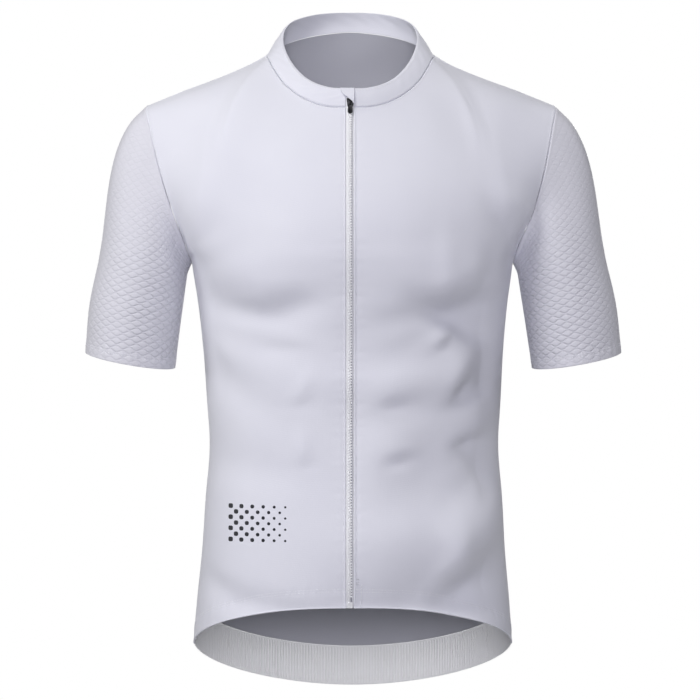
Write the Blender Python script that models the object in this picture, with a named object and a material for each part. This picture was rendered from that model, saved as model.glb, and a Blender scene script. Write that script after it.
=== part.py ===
"""Short-sleeved cycling jersey, men's medium, filled out as it is when worn.

Lengths below are in millimetres. +Z is up, the front faces -Y, and +X is the wearer's left.
The origin is the middle of the neck opening, level with the seam at the sides of the neck.
Every cloth panel is a grid of points on the garment's outer face, given thickness inwards.
Rows run upwards and columns run anticlockwise seen from above, so neighbours share seam points.
"""

import math

import bmesh
import bpy
import numpy as np
from mathutils import Matrix, Vector

MM = 0.001
KNIT = 1.5                  # wall of every cloth piece
GAP = 0.3                   # clear space between neighbouring pieces
SQUARENESS = 2.3            # power of the body's rounded cross-section
SMOOTH_BEND = 22.0          # degrees up to which a piece takes the shared normal at a seam

ARMPIT_Z = -216.0
HEM_FRONT_Z = -570.0
HEM_SIDE_Z = -618.0
HEM_BACK_Z = -677.0
HEM_CURVE_FRONT = 1.05              # powers that shape the hem's curve in front and behind
HEM_CURVE_BACK = 0.85
GRIPPER_HEIGHT = 43.0
FRONT_EDGE = {"right": 4.6, "left": 3.8}    # distance of each front's zip edge from the teeth's line

# columns and rows of the grids
NECK_COLUMNS = 7            # on each half of the neck seam
SHOULDER_COLUMNS = 6
GRIPPER_ROWS = 2
BODY_ROWS = 18
YOKE_ROWS = 11
CAP_ROWS = 7                # sleeve rows above the level of the armpit
CUFF_ROWS = 6
COLLAR_ROWS = 3
FAIRING_PASSES = 10

# Level sections of the body below the arms.
BODY = (
    # height, half width, depth in front, depth behind
    (-700.0, 165.0, 114.0, 122.0),
    (-677.0, 166.0, 114.0, 121.0),
    (-616.0, 167.0, 114.0, 119.0),
    (-568.0, 163.7, 113.0, 114.0),
    (-517.0, 159.0, 110.3, 104.5),
    (-467.0, 156.0, 106.6, 93.5),
    (-404.0, 151.6, 103.0, 84.0),
    (-366.0, 154.0, 103.0, 84.0),
    (-303.0, 158.0, 106.8, 93.0),
    (-252.0, 163.5, 114.5, 103.5),
    (-216.0, 169.0, 121.5, 112.0),
    (-180.0, 173.0, 120.0, 116.5),
)

# The neck seam and the collar's top edge, round one half of the neck.
NECK_HALF_WIDTH = 88.0
NECK_FRONT = 76.0
NECK_BACK = 62.0
COLLAR_HALF_WIDTH = 71.0
COLLAR_FRONT = 70.0
COLLAR_BACK = 59.0
COLLAR_BULGE = 1.6
NECK_SLOPE = (27.0, 62.0)           # degrees from upright at which the cloth meets the neck: front, side
NECK_CORNER_FRONT = (-0.55, 0.66, 0.50)     # its direction where the shoulder seam meets the neck,
NECK_CORNER_BACK = (-0.55, 0.80, 0.05)      # with y taken towards the other panel
NECK_CORNER_REACH = 4               # columns past the corner that its direction still bends
YOKE_FULLNESS = (1.06, 1.34)        # how far the cloth rounds out: in general, by the side of the neck
FULLNESS_SPREAD = 2.2               # columns over which the greater fullness fades
ARMHOLE_PULL = 0.35                 # share of the panel's width that the armhole doesn't pull on
NECK = (
    # angle from centre front, height of the seam, height of the collar's top edge
    (0.0, -61.0, -40.5),
    (20.0, -58.0, -38.0),
    (38.0, -46.0, -29.0),
    (55.0, -29.0, -14.0),
    (74.0, -6.5, 6.5),
    (90.0, 0.0, 21.0),
    (110.0, 8.0, 36.0),
    (135.0, 21.0, 47.0),
    (160.0, 30.0, 53.0),
    (180.0, 33.0, 54.0),
)

# The shoulder seam, along the top of the shoulder.
SHOULDER = (
    # distance from the middle, height
    (88.0, 0.0),
    (114.0, -12.2),
    (145.0, -24.8),
    (182.0, -38.4),
    (215.5, -53.0),
)

# The armhole seam between armpit and shoulder tip, in front and behind.
ARMHOLE_FRONT = (
    # distance from the middle, y, height
    (173.5, -28.0, -204.0),
    (182.0, -43.0, -181.0),
    (191.5, -47.0, -150.0),
    (202.0, -41.0, -112.0),
    (210.0, -29.0, -77.0),
    (214.5, -15.0, -58.0),
)
ARMHOLE_BACK = (
    (175.0, 31.0, -207.0),
    (186.0, 50.0, -184.0),
    (196.0, 55.0, -150.0),
    (204.5, 48.0, -112.0),
    (211.5, 32.0, -76.0),
    (214.8, 16.0, -57.0),
)

# Sections across the left sleeve, below the armpit. lean turns the section out from level.
SLEEVE = (
    # x, y, height of the centre, lean in degrees, half width, half depth
    (220.8, 3.0, -222.5, 10.3, 47.0, 57.0),
    (229.3, 1.0, -270.5, 10.3, 48.6, 56.0),
    (234.8, -1.0, -319.5, 10.3, 47.5, 54.0),
)
CUFF_DIP = 5.0              # degrees by which the sections drop towards the front
SLEEVE_CAP_SLOPE = 37.0     # degrees below level at which the sleeve leaves the shoulder tip

# The worn garment's middle line drifts a little to the side.
DRIFT = (
    # height, sideways shift
    (-700.0, 0.0),
    (-616.0, 0.3),
    (-517.0, 1.2),
    (-404.0, 1.6),
    (-250.0, 0.2),
    (-100.0, -1.4),
    (-30.0, -2.2),
    (60.0, -2.4),
)

ZIP_X = -2.4                # the zip hangs straight here, so the cloth beside it drifts less
ZIP_SPREAD = 50.0           # distance over which the cloth is drawn to it

# Creases pressed into the worn cloth: side -1 is the front, +1 the back.
FOLDS = (
    # side, x, height, half length, half width, turn from level in degrees, depth
    (-1, -113.0, -232.0, 70.0, 23.0, -26.0, -4.0),
    (-1, -102.0, -273.0, 58.0, 15.0, -16.0, 4.8),
    (-1, -60.0, -266.0, 31.0, 16.0, 1.0, 5.9),
    (-1, -83.0, -307.0, 47.0, 16.0, -17.0, 3.1),
    (-1, -131.0, -341.0, 70.0, 19.0, -36.0, 3.2),
    (-1, -99.0, -432.0, 70.0, 22.0, -8.0, 2.7),
    (-1, -71.0, -575.0, 70.0, 15.0, -15.0, 5.0),
    (-1, -103.0, -147.0, 64.0, 30.0, -37.0, 4.3),
    (-1, -177.0, -203.0, 42.0, 13.0, -68.0, 5.5),
    (-1, 30.0, -342.0, 70.0, 20.0, 0.0, -4.0),
    (-1, 34.0, -392.0, 70.0, 26.0, 76.0, -4.0),
    (-1, 38.0, -500.0, 70.0, 30.0, 1.0, -4.0),
    (-1, 20.0, -571.0, 70.0, 26.0, 1.0, 4.5),
    (-1, 66.0, -573.0, 70.0, 15.0, -1.0, 4.5),
    (-1, 94.0, -268.0, 59.0, 15.0, 13.0, 5.8),
    (-1, 105.0, -292.0, 70.0, 20.0, 24.0, 7.0),
    (-1, 107.0, -233.0, 70.0, 30.0, 15.0, -4.0),
    (-1, 47.0, -375.0, 31.0, 16.0, 19.0, 3.4),
    (-1, 79.0, -437.0, 38.0, 27.0, -87.0, 5.9),
    (-1, 120.0, -445.0, 70.0, 22.0, 52.0, 5.6),
    (-1, 90.0, -496.0, 70.0, 30.0, 8.0, -4.0),
    (-1, 116.0, -532.0, 52.0, 22.0, -51.0, -4.0),
    (-1, 155.0, -528.0, 70.0, 22.0, 39.0, 7.0),
    (-1, 121.0, -79.0, 66.0, 26.0, -68.0, 6.9),
    (-1, 183.0, -135.0, 70.0, 30.0, 75.0, -4.0),
    (-1, 182.0, -192.0, 34.0, 13.0, 64.0, 5.5),
    (1, -120.0, -250.0, 50.0, 17.0, 40.0, 7.5),
    (1, 112.0, -243.0, 44.0, 16.0, -36.0, 6.0),
    (1, -40.0, -352.0, 60.0, 17.0, 8.0, 5.0),
    (1, 62.0, -384.0, 50.0, 16.0, -14.0, 6.0),
    (1, -104.0, -402.0, 36.0, 15.0, -28.0, 5.5),
    (1, 120.0, -320.0, 34.0, 15.0, 30.0, 5.5),
    (1, 186.0, -196.0, 34.0, 12.0, 60.0, 5.5),
    (1, -184.0, -190.0, 32.0, 12.0, -62.0, 5.5),
)

# Ribbed band at the back hem
RIBS_PER_COLUMN = 6
RIB_HEIGHT = 0.5

# Pocket panel on the lower back, in columns and rows of the back's grid
POCKET_COLUMNS = (3, 21)
POCKET_ROWS = (1, 10)

# Zip
TAPE_WIDTH = 15.0
TAPE_WALL = 0.8
TAPE_CLEAR = 0.8            # behind the fronts' inner faces, which are not quite flat
TAPE_PARTING = 1.6          # half the space between the tapes above the slider
CHAIN_HALF_WIDTH = 1.9
CHAIN_WALL = 1.3
CHAIN_FACE = -0.6           # below the cloth's face
BOX_SIZE = (5.4, 2.6, 5.6)
SLIDER_Z = -56.0            # height of the pull's axis
SLIDER_SIZE = (7.2, 9.4)
PULL_WIDTH = 5.0
PULL_LENGTH = 12.0
PULL_WALL = 1.3
PULL_AXIS_HEIGHT = 3.1      # of the pull's axis over the cloth's face

CLOTH = (0.82, 0.83, 0.88)
SLEEVE_CLOTH = (0.78, 0.78, 0.83)
BAND_CLOTH = (0.80, 0.80, 0.80)
TAPE_CLOTH = (0.74, 0.75, 0.77)
TEETH = (0.76, 0.77, 0.79)
BLACK_METAL = (0.03, 0.03, 0.04)


# ---------------------------------------------------------------------------- curves

def smooth(keys, values, at):
    """Smooth curve through the values at the keys."""
    keys = np.asarray(keys, float)
    values = np.asarray(values, float)
    at = np.clip(np.asarray(at, float), keys[0], keys[-1])
    slopes = np.gradient(values, keys, axis=0)
    low = np.clip(np.searchsorted(keys, at, side="right") - 1, 0, len(keys) - 2)
    span = keys[low + 1] - keys[low]
    part = (at - keys[low]) / span
    if values.ndim == 2:
        span = span[..., None]
        part = part[..., None]
    return hermite(values[low], slopes[low] * span, values[low + 1], slopes[low + 1] * span, part)


def hermite(start, leave, end, arrive, part):
    """Cubic from start to end with the given tangents, at part 0 to 1."""
    square = part * part
    cube = square * part
    return (start * (2 * cube - 3 * square + 1) + leave * (cube - 2 * square + part)
            + end * (3 * square - 2 * cube) + arrive * (cube - square))


def column(table, *which):
    """The named columns of a table, as an array."""
    rows = np.array(table, float)
    return rows[:, which[0]] if len(which) == 1 else rows[:, which]


def unit(vectors):
    return vectors / np.linalg.norm(vectors, axis=-1, keepdims=True)


def fade(part):
    part = np.clip(part, 0.0, 1.0)
    return part * part * (3 - 2 * part)


# ---------------------------------------------------------------------------- garment's form

def body_point(angle, height):
    """Point of the body tube. The angle in radians runs from centre front by the left side."""
    sizes = smooth(column(BODY, 0), column(BODY, 1, 2, 3), height)
    sine, cosine = np.sin(angle), np.cos(angle)
    power = 2.0 / SQUARENESS
    x = sizes[..., 0] * np.sign(sine) * np.abs(sine) ** power
    depth = np.where(cosine > 0, sizes[..., 1], sizes[..., 2])
    y = -depth * np.sign(cosine) * np.abs(cosine) ** power
    return np.stack([x, y, height + 0.0 * x], axis=-1)


def hem_height(angle):
    """The hem rises in front and drops behind in a rounded tail."""
    fall_front = (HEM_FRONT_Z - HEM_SIDE_Z) * (1 - np.clip(np.cos(angle), 0, 1)) ** HEM_CURVE_FRONT
    rise_back = (HEM_SIDE_Z - HEM_BACK_Z) * (1 - np.clip(-np.cos(angle), 0, 1)) ** HEM_CURVE_BACK
    return np.where(np.cos(angle) > 0, HEM_FRONT_Z - fall_front, HEM_BACK_Z + rise_back)


def neck_point(angle, top):
    """Point of the neck seam, or of the collar's top edge, at an angle from centre front."""
    height = smooth(np.radians(column(NECK, 0)), column(NECK, 2 if top else 1), angle)
    front = COLLAR_FRONT if top else NECK_FRONT
    back = COLLAR_BACK if top else NECK_BACK
    half_width = COLLAR_HALF_WIDTH if top else NECK_HALF_WIDTH
    depth = np.where(np.cos(angle) > 0, front, back)
    return np.stack([half_width * np.sin(angle), -depth * np.cos(angle), height], axis=-1)


def neck_angles(edge):
    """Angles of the columns round half the neck, from the zip edge to centre back."""
    start = math.asin(edge / NECK_HALF_WIDTH)
    front = np.linspace(start, math.pi / 2, NECK_COLUMNS + 1)
    back = np.linspace(math.pi / 2, math.pi, NECK_COLUMNS)
    return front, back


def shoulder_points():
    """Points of the left shoulder seam, from the neck to the tip."""
    distance = np.linspace(SHOULDER[0][0], SHOULDER[-1][0], SHOULDER_COLUMNS + 1)
    height = smooth(column(SHOULDER, 0), column(SHOULDER, 1), distance)
    return np.stack([distance, 0.0 * distance, height], axis=-1)


def armhole_halves():
    """Front and back half of the left armhole, each from the armpit to the shoulder tip."""
    armpit = body_point(np.array(math.pi / 2), np.array(ARMPIT_Z))
    armpit[1] = 0.0
    tip = shoulder_points()[-1]
    loop = np.array([ARMHOLE_BACK[0], armpit, *ARMHOLE_FRONT, tip, *ARMHOLE_BACK[::-1], armpit,
                     ARMHOLE_FRONT[0]])
    keys = np.concatenate([[0.0], np.cumsum(np.linalg.norm(np.diff(loop, axis=0), axis=1))])
    at_tip = len(ARMHOLE_FRONT) + 2
    front = smooth(keys, loop, np.linspace(keys[1], keys[at_tip], YOKE_ROWS + 1))
    back = smooth(keys, loop, np.linspace(keys[-2], keys[at_tip], YOKE_ROWS + 1))
    for half in (front, back):
        half[0] = armpit
        half[-1] = tip
    return front, back


def body_rows(angles, first_row):
    """Rows of the body tube at the columns' angles, up to the armpit."""
    hem = hem_height(angles)
    band = [hem + GRIPPER_HEIGHT * row / GRIPPER_ROWS for row in range(GRIPPER_ROWS)]
    start = hem + GRIPPER_HEIGHT
    rest = [start + (ARMPIT_Z - start) * row / BODY_ROWS for row in range(BODY_ROWS + 1)]
    heights = np.array(band + rest)[first_row:]
    return body_point(angles[None, :] + 0.0 * heights, heights)


def yoke_rows(angles, top, arrive):
    """Rows above the armpit: columns run up from the tube and come over to the top edge."""
    start = body_point(angles, np.full(len(angles), ARMPIT_Z))
    leave = unit(start - body_point(angles, np.full(len(angles), ARMPIT_Z - 1.0)))
    length = np.linalg.norm(top - start, axis=-1, keepdims=True)
    full = np.linalg.norm(arrive, axis=-1, keepdims=True)
    part = (np.arange(1, YOKE_ROWS + 1) / YOKE_ROWS)[:, None, None]
    return hermite(start, leave * length * full, top, arrive * length, part)


def pull_to_armhole(rows, armhole, outermost, share):
    """Shift the columns so that the outermost one is the armhole, fading towards the middle."""
    shift = armhole[1:] - rows[:, outermost]
    return rows + fade((share - ARMHOLE_PULL) / (1 - ARMHOLE_PULL))[None, :, None] * shift[:, None, :]


def arrivals(neck, corner):
    """Directions in which the cloth comes up to the neck seam and over to the shoulder seam.

    neck holds the angles from the middle of the body to the side of the neck, and corner is the
    direction there, where the two seams meet. The length of each says how full its column is.
    """
    to_side = fade(neck / (math.pi / 2))[:, None]
    slope = np.radians(NECK_SLOPE[0] + to_side * (NECK_SLOPE[1] - NECK_SLOPE[0]))
    inward = np.stack([-np.sin(neck), np.cos(neck), 0 * neck], axis=-1)
    climb = inward * np.sin(slope) + np.array([0.0, 0.0, 1.0]) * np.cos(slope)
    near = fade(2 * neck / (math.pi / 2) - 1)[:, None]
    past = fade(np.arange(1, SHOULDER_COLUMNS + 1) / NECK_CORNER_REACH)[:, None]
    across = np.tile([0.0, 1.0, 0.0], (SHOULDER_COLUMNS, 1))
    ways = np.concatenate([climb * (1 - near) + corner * near, corner * (1 - past) + across * past])
    beside = (np.arange(len(ways)) - (len(neck) - 1)) / FULLNESS_SPREAD
    full = YOKE_FULLNESS[0] + (YOKE_FULLNESS[1] - YOKE_FULLNESS[0]) * np.exp(-beside ** 2)
    return unit(ways) * full[:, None]


def faired(grid, first_row):
    """The grid with small crumples smoothed out above a row. Its edges stay as they are."""
    grid = grid.copy()
    for _ in range(FAIRING_PASSES):
        for step in (0.50, -0.52):
            around = (grid[first_row:-2, 1:-1] + grid[first_row + 2:, 1:-1]
                      + grid[first_row + 1:-1, :-2] + grid[first_row + 1:-1, 2:]) / 4
            inside = grid[first_row + 1:-1, 1:-1]
            inside += step * (around - inside)
    return grid


def front_grid(edge):
    """Left front panel, from the zip edge to the side seam, from the hem to the shoulder."""
    count = NECK_COLUMNS + SHOULDER_COLUMNS
    mean_width = BODY[5][1]
    start = math.asin((edge / mean_width) ** (SQUARENESS / 2))
    angles = np.linspace(start, math.pi / 2, count + 1)
    share = np.linspace(0.0, 1.0, count + 1)
    low = body_rows(angles, 0)
    neck, _ = neck_angles(edge)
    top = np.concatenate([neck_point(neck, False), shoulder_points()[1:]])
    arrive = arrivals(neck, np.array(NECK_CORNER_FRONT))
    arrive[0, 0] = 0.0
    armhole = armhole_halves()[0]
    rows = pull_to_armhole(yoke_rows(angles, top, arrive), armhole, -1, share)
    grid = np.concatenate([low, rows])
    near_edge = np.clip(1 - 4 * share, 0, 1)
    grid[..., 0] += (edge - grid[:, :1, 0]) * near_edge
    grid[-1] = top
    grid[GRIPPER_ROWS + BODY_ROWS:, -1] = armhole
    return faired(grid, GRIPPER_ROWS + BODY_ROWS)


def back_grid():
    """Back panel, from the left side seam round to the right one."""
    half = NECK_COLUMNS - 1 + SHOULDER_COLUMNS
    angles = np.linspace(math.pi / 2, math.pi, half + 1)
    share = np.linspace(1.0, 0.0, half + 1)
    low = body_rows(angles, GRIPPER_ROWS)
    _, neck = neck_angles(FRONT_EDGE["left"])
    top = np.concatenate([shoulder_points()[:0:-1], neck_point(neck, False)])
    arrive = arrivals((math.pi - neck)[::-1], np.array(NECK_CORNER_BACK))[::-1] * (1.0, -1.0, 1.0)
    arrive[-1, 0] = 0.0
    armhole = armhole_halves()[1]
    rows = pull_to_armhole(yoke_rows(angles, top, arrive), armhole, 0, share)
    grid = np.concatenate([low, rows])
    grid[-1] = top
    grid[:, -1, 0] = 0.0
    grid[BODY_ROWS:, 0] = armhole
    return faired(np.concatenate([grid, mirrored(grid)[:, 1:]], axis=1), BODY_ROWS)


def gripper_grid():
    """The band below the back panel, on the same columns."""
    half = NECK_COLUMNS - 1 + SHOULDER_COLUMNS
    angles = np.linspace(math.pi / 2, math.pi, half + 1)
    grid = body_rows(angles, 0)[:GRIPPER_ROWS + 1]
    grid[:, -1, 0] = 0.0
    return np.concatenate([grid, mirrored(grid)[:, 1:]], axis=1)


def mirrored(grid):
    """The same grid on the other side of the body."""
    return (grid * (-1.0, 1.0, 1.0))[:, ::-1]


def sleeve_section(row, angles):
    """Ring across the left sleeve: angle 0 is next to the body, a quarter turn is the front."""
    x, y, height, lean, half_width, half_depth = row
    lean = math.radians(lean)
    dip = math.radians(CUFF_DIP)
    outward = np.array([math.cos(lean), 0.0, math.sin(lean)])
    backward = np.array([0.0, math.cos(dip), math.sin(dip)])
    centre = np.array([x, y, height])
    return (centre - np.cos(angles)[:, None] * half_width * outward
            - np.sin(angles)[:, None] * half_depth * backward)


def sleeve_grid():
    """Left sleeve, from the cuff up to the armhole, closed round."""
    front, back = armhole_halves()
    armhole = np.concatenate([front, back[-2::-1]])
    angles = np.linspace(0.0, 2 * math.pi, len(armhole))
    rings = np.array([sleeve_section(row, angles) for row in SLEEVE])
    cap_slope = math.radians(SLEEVE_CAP_SLOPE)
    at_tip = np.array([math.cos(cap_slope), 0.0, -math.sin(cap_slope)])
    at_armpit = np.array([0.25, 0.0, -0.97])
    outside = ((1 - np.cos(angles)) / 2)[:, None]
    reach = np.linalg.norm(rings[0] - armhole, axis=-1, keepdims=True)
    leave = unit(at_armpit * (1 - outside) + at_tip * outside) * reach
    arrive = unit(rings[1] - rings[0]) * reach
    part = (np.arange(CAP_ROWS) / CAP_ROWS)[:, None, None]
    cap = hermite(armhole, leave, rings[0], arrive, part)
    steps = np.linspace(0.0, len(SLEEVE) - 1.0, CUFF_ROWS + 1)
    flat_rings = rings.reshape(len(SLEEVE), -1)
    lower = smooth(np.arange(len(SLEEVE)), flat_rings, steps).reshape(-1, len(armhole), 3)
    grid = np.concatenate([cap, lower])[::-1]
    grid[:, -1] = grid[:, 0]
    return grid


def collar_grid():
    """Stand-up collar, from the left zip edge round the back to the right one."""
    halves = []
    for side in ("left", "right"):
        front, back = neck_angles(FRONT_EDGE[side])
        angles = np.concatenate([front, back[1:]])
        low = neck_point(angles, False)
        high = neck_point(angles, True)
        part = (np.arange(COLLAR_ROWS + 1) / COLLAR_ROWS)[:, None, None]
        outward = np.stack([np.sin(angles), -np.cos(angles), 0 * angles], axis=-1)
        half = low * (1 - part) + high * part + 4 * COLLAR_BULGE * part * (1 - part) * outward
        half[:, 0, 0] = FRONT_EDGE[side]
        half[:, -1, 0] = 0.0
        halves.append(half)
    return np.concatenate([halves[0], mirrored(halves[1])[:, 1:]], axis=1)


# ---------------------------------------------------------------------------- cloth

def seam_normals(grids, always_shared=False):
    """Unit normals of all grids. Pieces share them at a seam, unless they meet in a sharp crease."""
    own = []
    for grid in grids.values():
        total = np.zeros_like(grid)
        face = np.cross(grid[1:, 1:] - grid[:-1, :-1], grid[1:, :-1] - grid[:-1, 1:])
        for corner in (total[:-1, :-1], total[:-1, 1:], total[1:, 1:], total[1:, :-1]):
            corner += face
        own.append(unit(total).reshape(-1, 3))
    own = np.concatenate(own)
    points = np.concatenate([grid.reshape(-1, 3) for grid in grids.values()])
    _, owner = np.unique(np.round(points * 1e3).astype(np.int64), axis=0, return_inverse=True)
    owner = owner.ravel()
    sums = np.stack([np.bincount(owner, own[:, axis]) for axis in range(3)], axis=-1)
    shared = unit(sums)[owner]
    bend = np.degrees(np.arccos(np.clip((own * shared).sum(axis=-1), -1, 1)))
    sharp = 0.0 if always_shared else fade((bend - SMOOTH_BEND) / SMOOTH_BEND)[:, None]
    normals = unit(shared * (1 - sharp) + own * sharp)
    split = np.cumsum([grid[..., 0].size for grid in grids.values()])[:-1]
    parts = np.split(normals, split)
    return {name: part.reshape(grid.shape) for (name, grid), part in zip(grids.items(), parts)}


def crease_depth(points, normals):
    """How far the creases press each point in."""
    depth = np.zeros(points.shape[:-1])
    for side, x, height, half_length, half_width, turn, deep in FOLDS:
        turn = math.radians(turn)
        right = points[..., 0] - x
        up = points[..., 2] - height
        along = (right * math.cos(turn) + up * math.sin(turn)) / half_length
        across = (up * math.cos(turn) - right * math.sin(turn)) / half_width
        facing = np.clip(1.6 * side * normals[..., 1], 0.0, 1.0)
        depth += deep * facing * np.exp(-along ** 2 - across ** 2)
    return depth


def worn_grids():
    """All the garment's grids with creases and drift, and their normals."""
    grids = {
        "front_left": front_grid(FRONT_EDGE["left"]),
        "front_right": mirrored(front_grid(FRONT_EDGE["right"])),
        "back": back_grid(),
        "hem_gripper": gripper_grid(),
        "sleeve_left": sleeve_grid(),
        "sleeve_right": mirrored(sleeve_grid()),
        "collar": collar_grid(),
    }
    normals = seam_normals(grids, always_shared=True)
    for name, grid in grids.items():
        pressed = grid - normals[name] * crease_depth(grid, normals[name])[..., None]
        drift = smooth(column(DRIFT, 0), column(DRIFT, 1), grid[..., 2])
        beside_zip = np.exp(-(grid[..., 0] / ZIP_SPREAD) ** 2) * (grid[..., 1] < 0)
        pressed[..., 0] += drift + (ZIP_X - drift) * beside_zip
        grids[name] = pressed
    return grids, seam_normals(grids)


def drawn_in(grid, seams):
    """The grid with each seam edge drawn back by half the gap."""
    grid = grid.copy()
    views = {"low": grid, "high": grid[::-1], "first": grid.swapaxes(0, 1),
             "last": grid.swapaxes(0, 1)[::-1]}
    for seam in seams.split():
        view = views[seam]
        view[0] += unit(view[1] - view[0]) * GAP / 2
    return grid


def shell(name, grid, normals, colour, seams="", face=0.0, wall=KNIT, closed=False):
    """Closed wall on a grid: its outer face stands off the grid by face, its inner one by wall less."""
    grid = drawn_in(grid, seams)
    face = np.broadcast_to(np.asarray(face, float).reshape(-1, 1, 1), (len(grid), 1, 1))
    outer = grid + normals * face
    inner = grid + normals * (face - wall)
    rows, columns = grid.shape[:2]
    if closed:
        columns -= 1
        outer = outer[:, :-1]
        inner = inner[:, :-1]
    mesh = bmesh.new()
    skins = [[[mesh.verts.new(Vector(p) * MM) for p in row] for row in skin] for skin in (outer, inner)]
    for skin in skins:
        for row in range(rows - 1):
            for start in range(columns if closed else columns - 1):
                end = (start + 1) % columns
                a, b = skin[row][start], skin[row][end]
                c, d = skin[row + 1][end], skin[row + 1][start]
                mesh.faces.new((a, b, c))
                mesh.faces.new((a, c, d))
    rims = [[(row, c) for c in range(columns)] for row in (0, rows - 1)]
    if closed:
        rims = [rim + rim[:1] for rim in rims]
    else:
        rims += [[(r, c) for r in range(rows)] for c in (0, columns - 1)]
    for rim in rims:
        for (r0, c0), (r1, c1) in zip(rim, rim[1:]):
            mesh.faces.new((skins[0][r0][c0], skins[0][r1][c1], skins[1][r1][c1]))
            mesh.faces.new((skins[0][r0][c0], skins[1][r1][c1], skins[1][r0][c0]))
    bmesh.ops.recalc_face_normals(mesh, faces=mesh.faces[:])
    return add_object(name, mesh, colour)


def ribbed_band(grid, normals):
    """The elastic band: ribs raised on its outer face over a plain inner face."""
    grid = drawn_in(grid, "high first last")
    rows, columns = grid.shape[:2]
    steps = 2 * RIBS_PER_COLUMN
    where = np.linspace(0, columns - 1, (columns - 1) * steps + 1)
    low = np.minimum(where.astype(int), columns - 2)
    part = (where - low)[None, :, None]
    fine = grid[:, low] * (1 - part) + grid[:, low + 1] * part
    lift = np.where(np.arange(len(where)) % 2, RIB_HEIGHT, 0.0)[None, :, None]
    fine_normals = unit(normals[:, low] * (1 - part) + normals[:, low + 1] * part)
    outer = fine + fine_normals * lift
    inner = grid - normals * KNIT
    mesh = bmesh.new()
    skins = [[[mesh.verts.new(Vector(p) * MM) for p in row] for row in skin] for skin in (outer, inner)]
    for skin in skins:
        for row in range(rows - 1):
            for start in range(len(skin[0]) - 1):
                a, b = skin[row][start], skin[row][start + 1]
                c, d = skin[row + 1][start + 1], skin[row + 1][start]
                mesh.faces.new((a, b, c))
                mesh.faces.new((a, c, d))
    for row in (0, rows - 1):
        for start in range(columns - 1):
            inside = skins[1][row][start:start + 2]
            outside = skins[0][row][start * steps:(start + 1) * steps + 1]
            for step in range(steps):
                pivot = inside[0] if step < steps // 2 else inside[1]
                mesh.faces.new((outside[step], outside[step + 1], pivot))
            mesh.faces.new((outside[steps // 2], inside[1], inside[0]))
    for end in (0, -1):
        for row in range(rows - 1):
            a, b = skins[0][row][end], skins[0][row + 1][end]
            c, d = skins[1][row + 1][end], skins[1][row][end]
            mesh.faces.new((a, b, c))
            mesh.faces.new((a, c, d))
    bmesh.ops.recalc_face_normals(mesh, faces=mesh.faces[:])
    return add_object("hem_gripper", mesh, BAND_CLOTH)


# ---------------------------------------------------------------------------- zip

def zip_spine(grids, normals):
    """Points and normals up the left zip edge, and the first column beside it."""
    points = np.concatenate([grids["front_left"][:-1, :2], grids["collar"][:, :2]])
    tilt = np.concatenate([normals["front_left"][:-1, :2], normals["collar"][:, :2]])
    return points, tilt


def mirrored_spine(grids, normals):
    """The same up the right zip edge, turned over to the left."""
    flip = np.array([-1.0, 1.0, 1.0])
    points = np.concatenate([grids["front_right"][:-1, :-3:-1], grids["collar"][:, :-3:-1]])
    tilt = np.concatenate([normals["front_right"][:-1, :-3:-1], normals["collar"][:, :-3:-1]])
    return points * flip, tilt * flip


def strip_grid(points, tilt, edge, drift, offsets):
    """Strip along the zip at the given distances from the teeth's line, one set for each row."""
    offsets = np.asarray(offsets, float)
    width = points[:, 1, 0] - points[:, 0, 0]
    part = ((offsets - edge) / width[:, None])[..., None]
    grid = points[:, :1] * (1 - part) + points[:, 1:2] * part
    grid[..., 0] = offsets + drift[:, None]
    lean = tilt[:, :1] * (1 - np.clip(part, 0, 1)) + tilt[:, 1:2] * np.clip(part, 0, 1)
    lean[..., 0] *= part[..., 0] > -GAP / 100
    return grid, unit(lean)


def add_zip(grids, normals):
    """Tapes, teeth, box, slider, pull and garage."""
    left, left_tilt = zip_spine(grids, normals)
    right, right_tilt = mirrored_spine(grids, normals)
    drift = left[:, 0, 0] - FRONT_EDGE["left"]
    rows = len(left)
    behind = -(KNIT + TAPE_CLEAR)
    inner_edge = np.full(rows, GAP / 2)
    inner_edge[-3:] = TAPE_PARTING
    for side, points, tilt in (("left", left, left_tilt), ("right", right, right_tilt)):
        edge = FRONT_EDGE[side]
        offsets = np.stack([inner_edge, np.full(rows, edge), np.full(rows, TAPE_WIDTH)], axis=-1)
        sway = drift if side == "left" else -drift
        grid, lean = strip_grid(points, tilt, edge, sway, offsets)
        if side == "right":
            grid = mirrored(grid)
            lean = (lean * (-1.0, 1.0, 1.0))[:, ::-1]
        shell("zip_tape_" + side, grid, lean, TAPE_CLOTH, face=behind, wall=TAPE_WALL)
    add_chain(left, left_tilt, drift)
    add_slider(left, drift)
    add_garage(left, drift)


def spine_place(points, drift, height):
    """Point, normal and upward direction on the teeth's line at a height."""
    spine = points[:, 0].copy()
    spine[:, 0] = drift
    place = smooth(spine[:, 2], spine, np.array(height))
    above = smooth(spine[:, 2], spine, np.array(height + SLIDER_SIZE[1] / 2))
    below = smooth(spine[:, 2], spine, np.array(height - SLIDER_SIZE[1] / 2))
    up = unit(above - below)
    normal = np.array([0.0, -up[2], up[1]])
    return place, unit(normal), up


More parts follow.
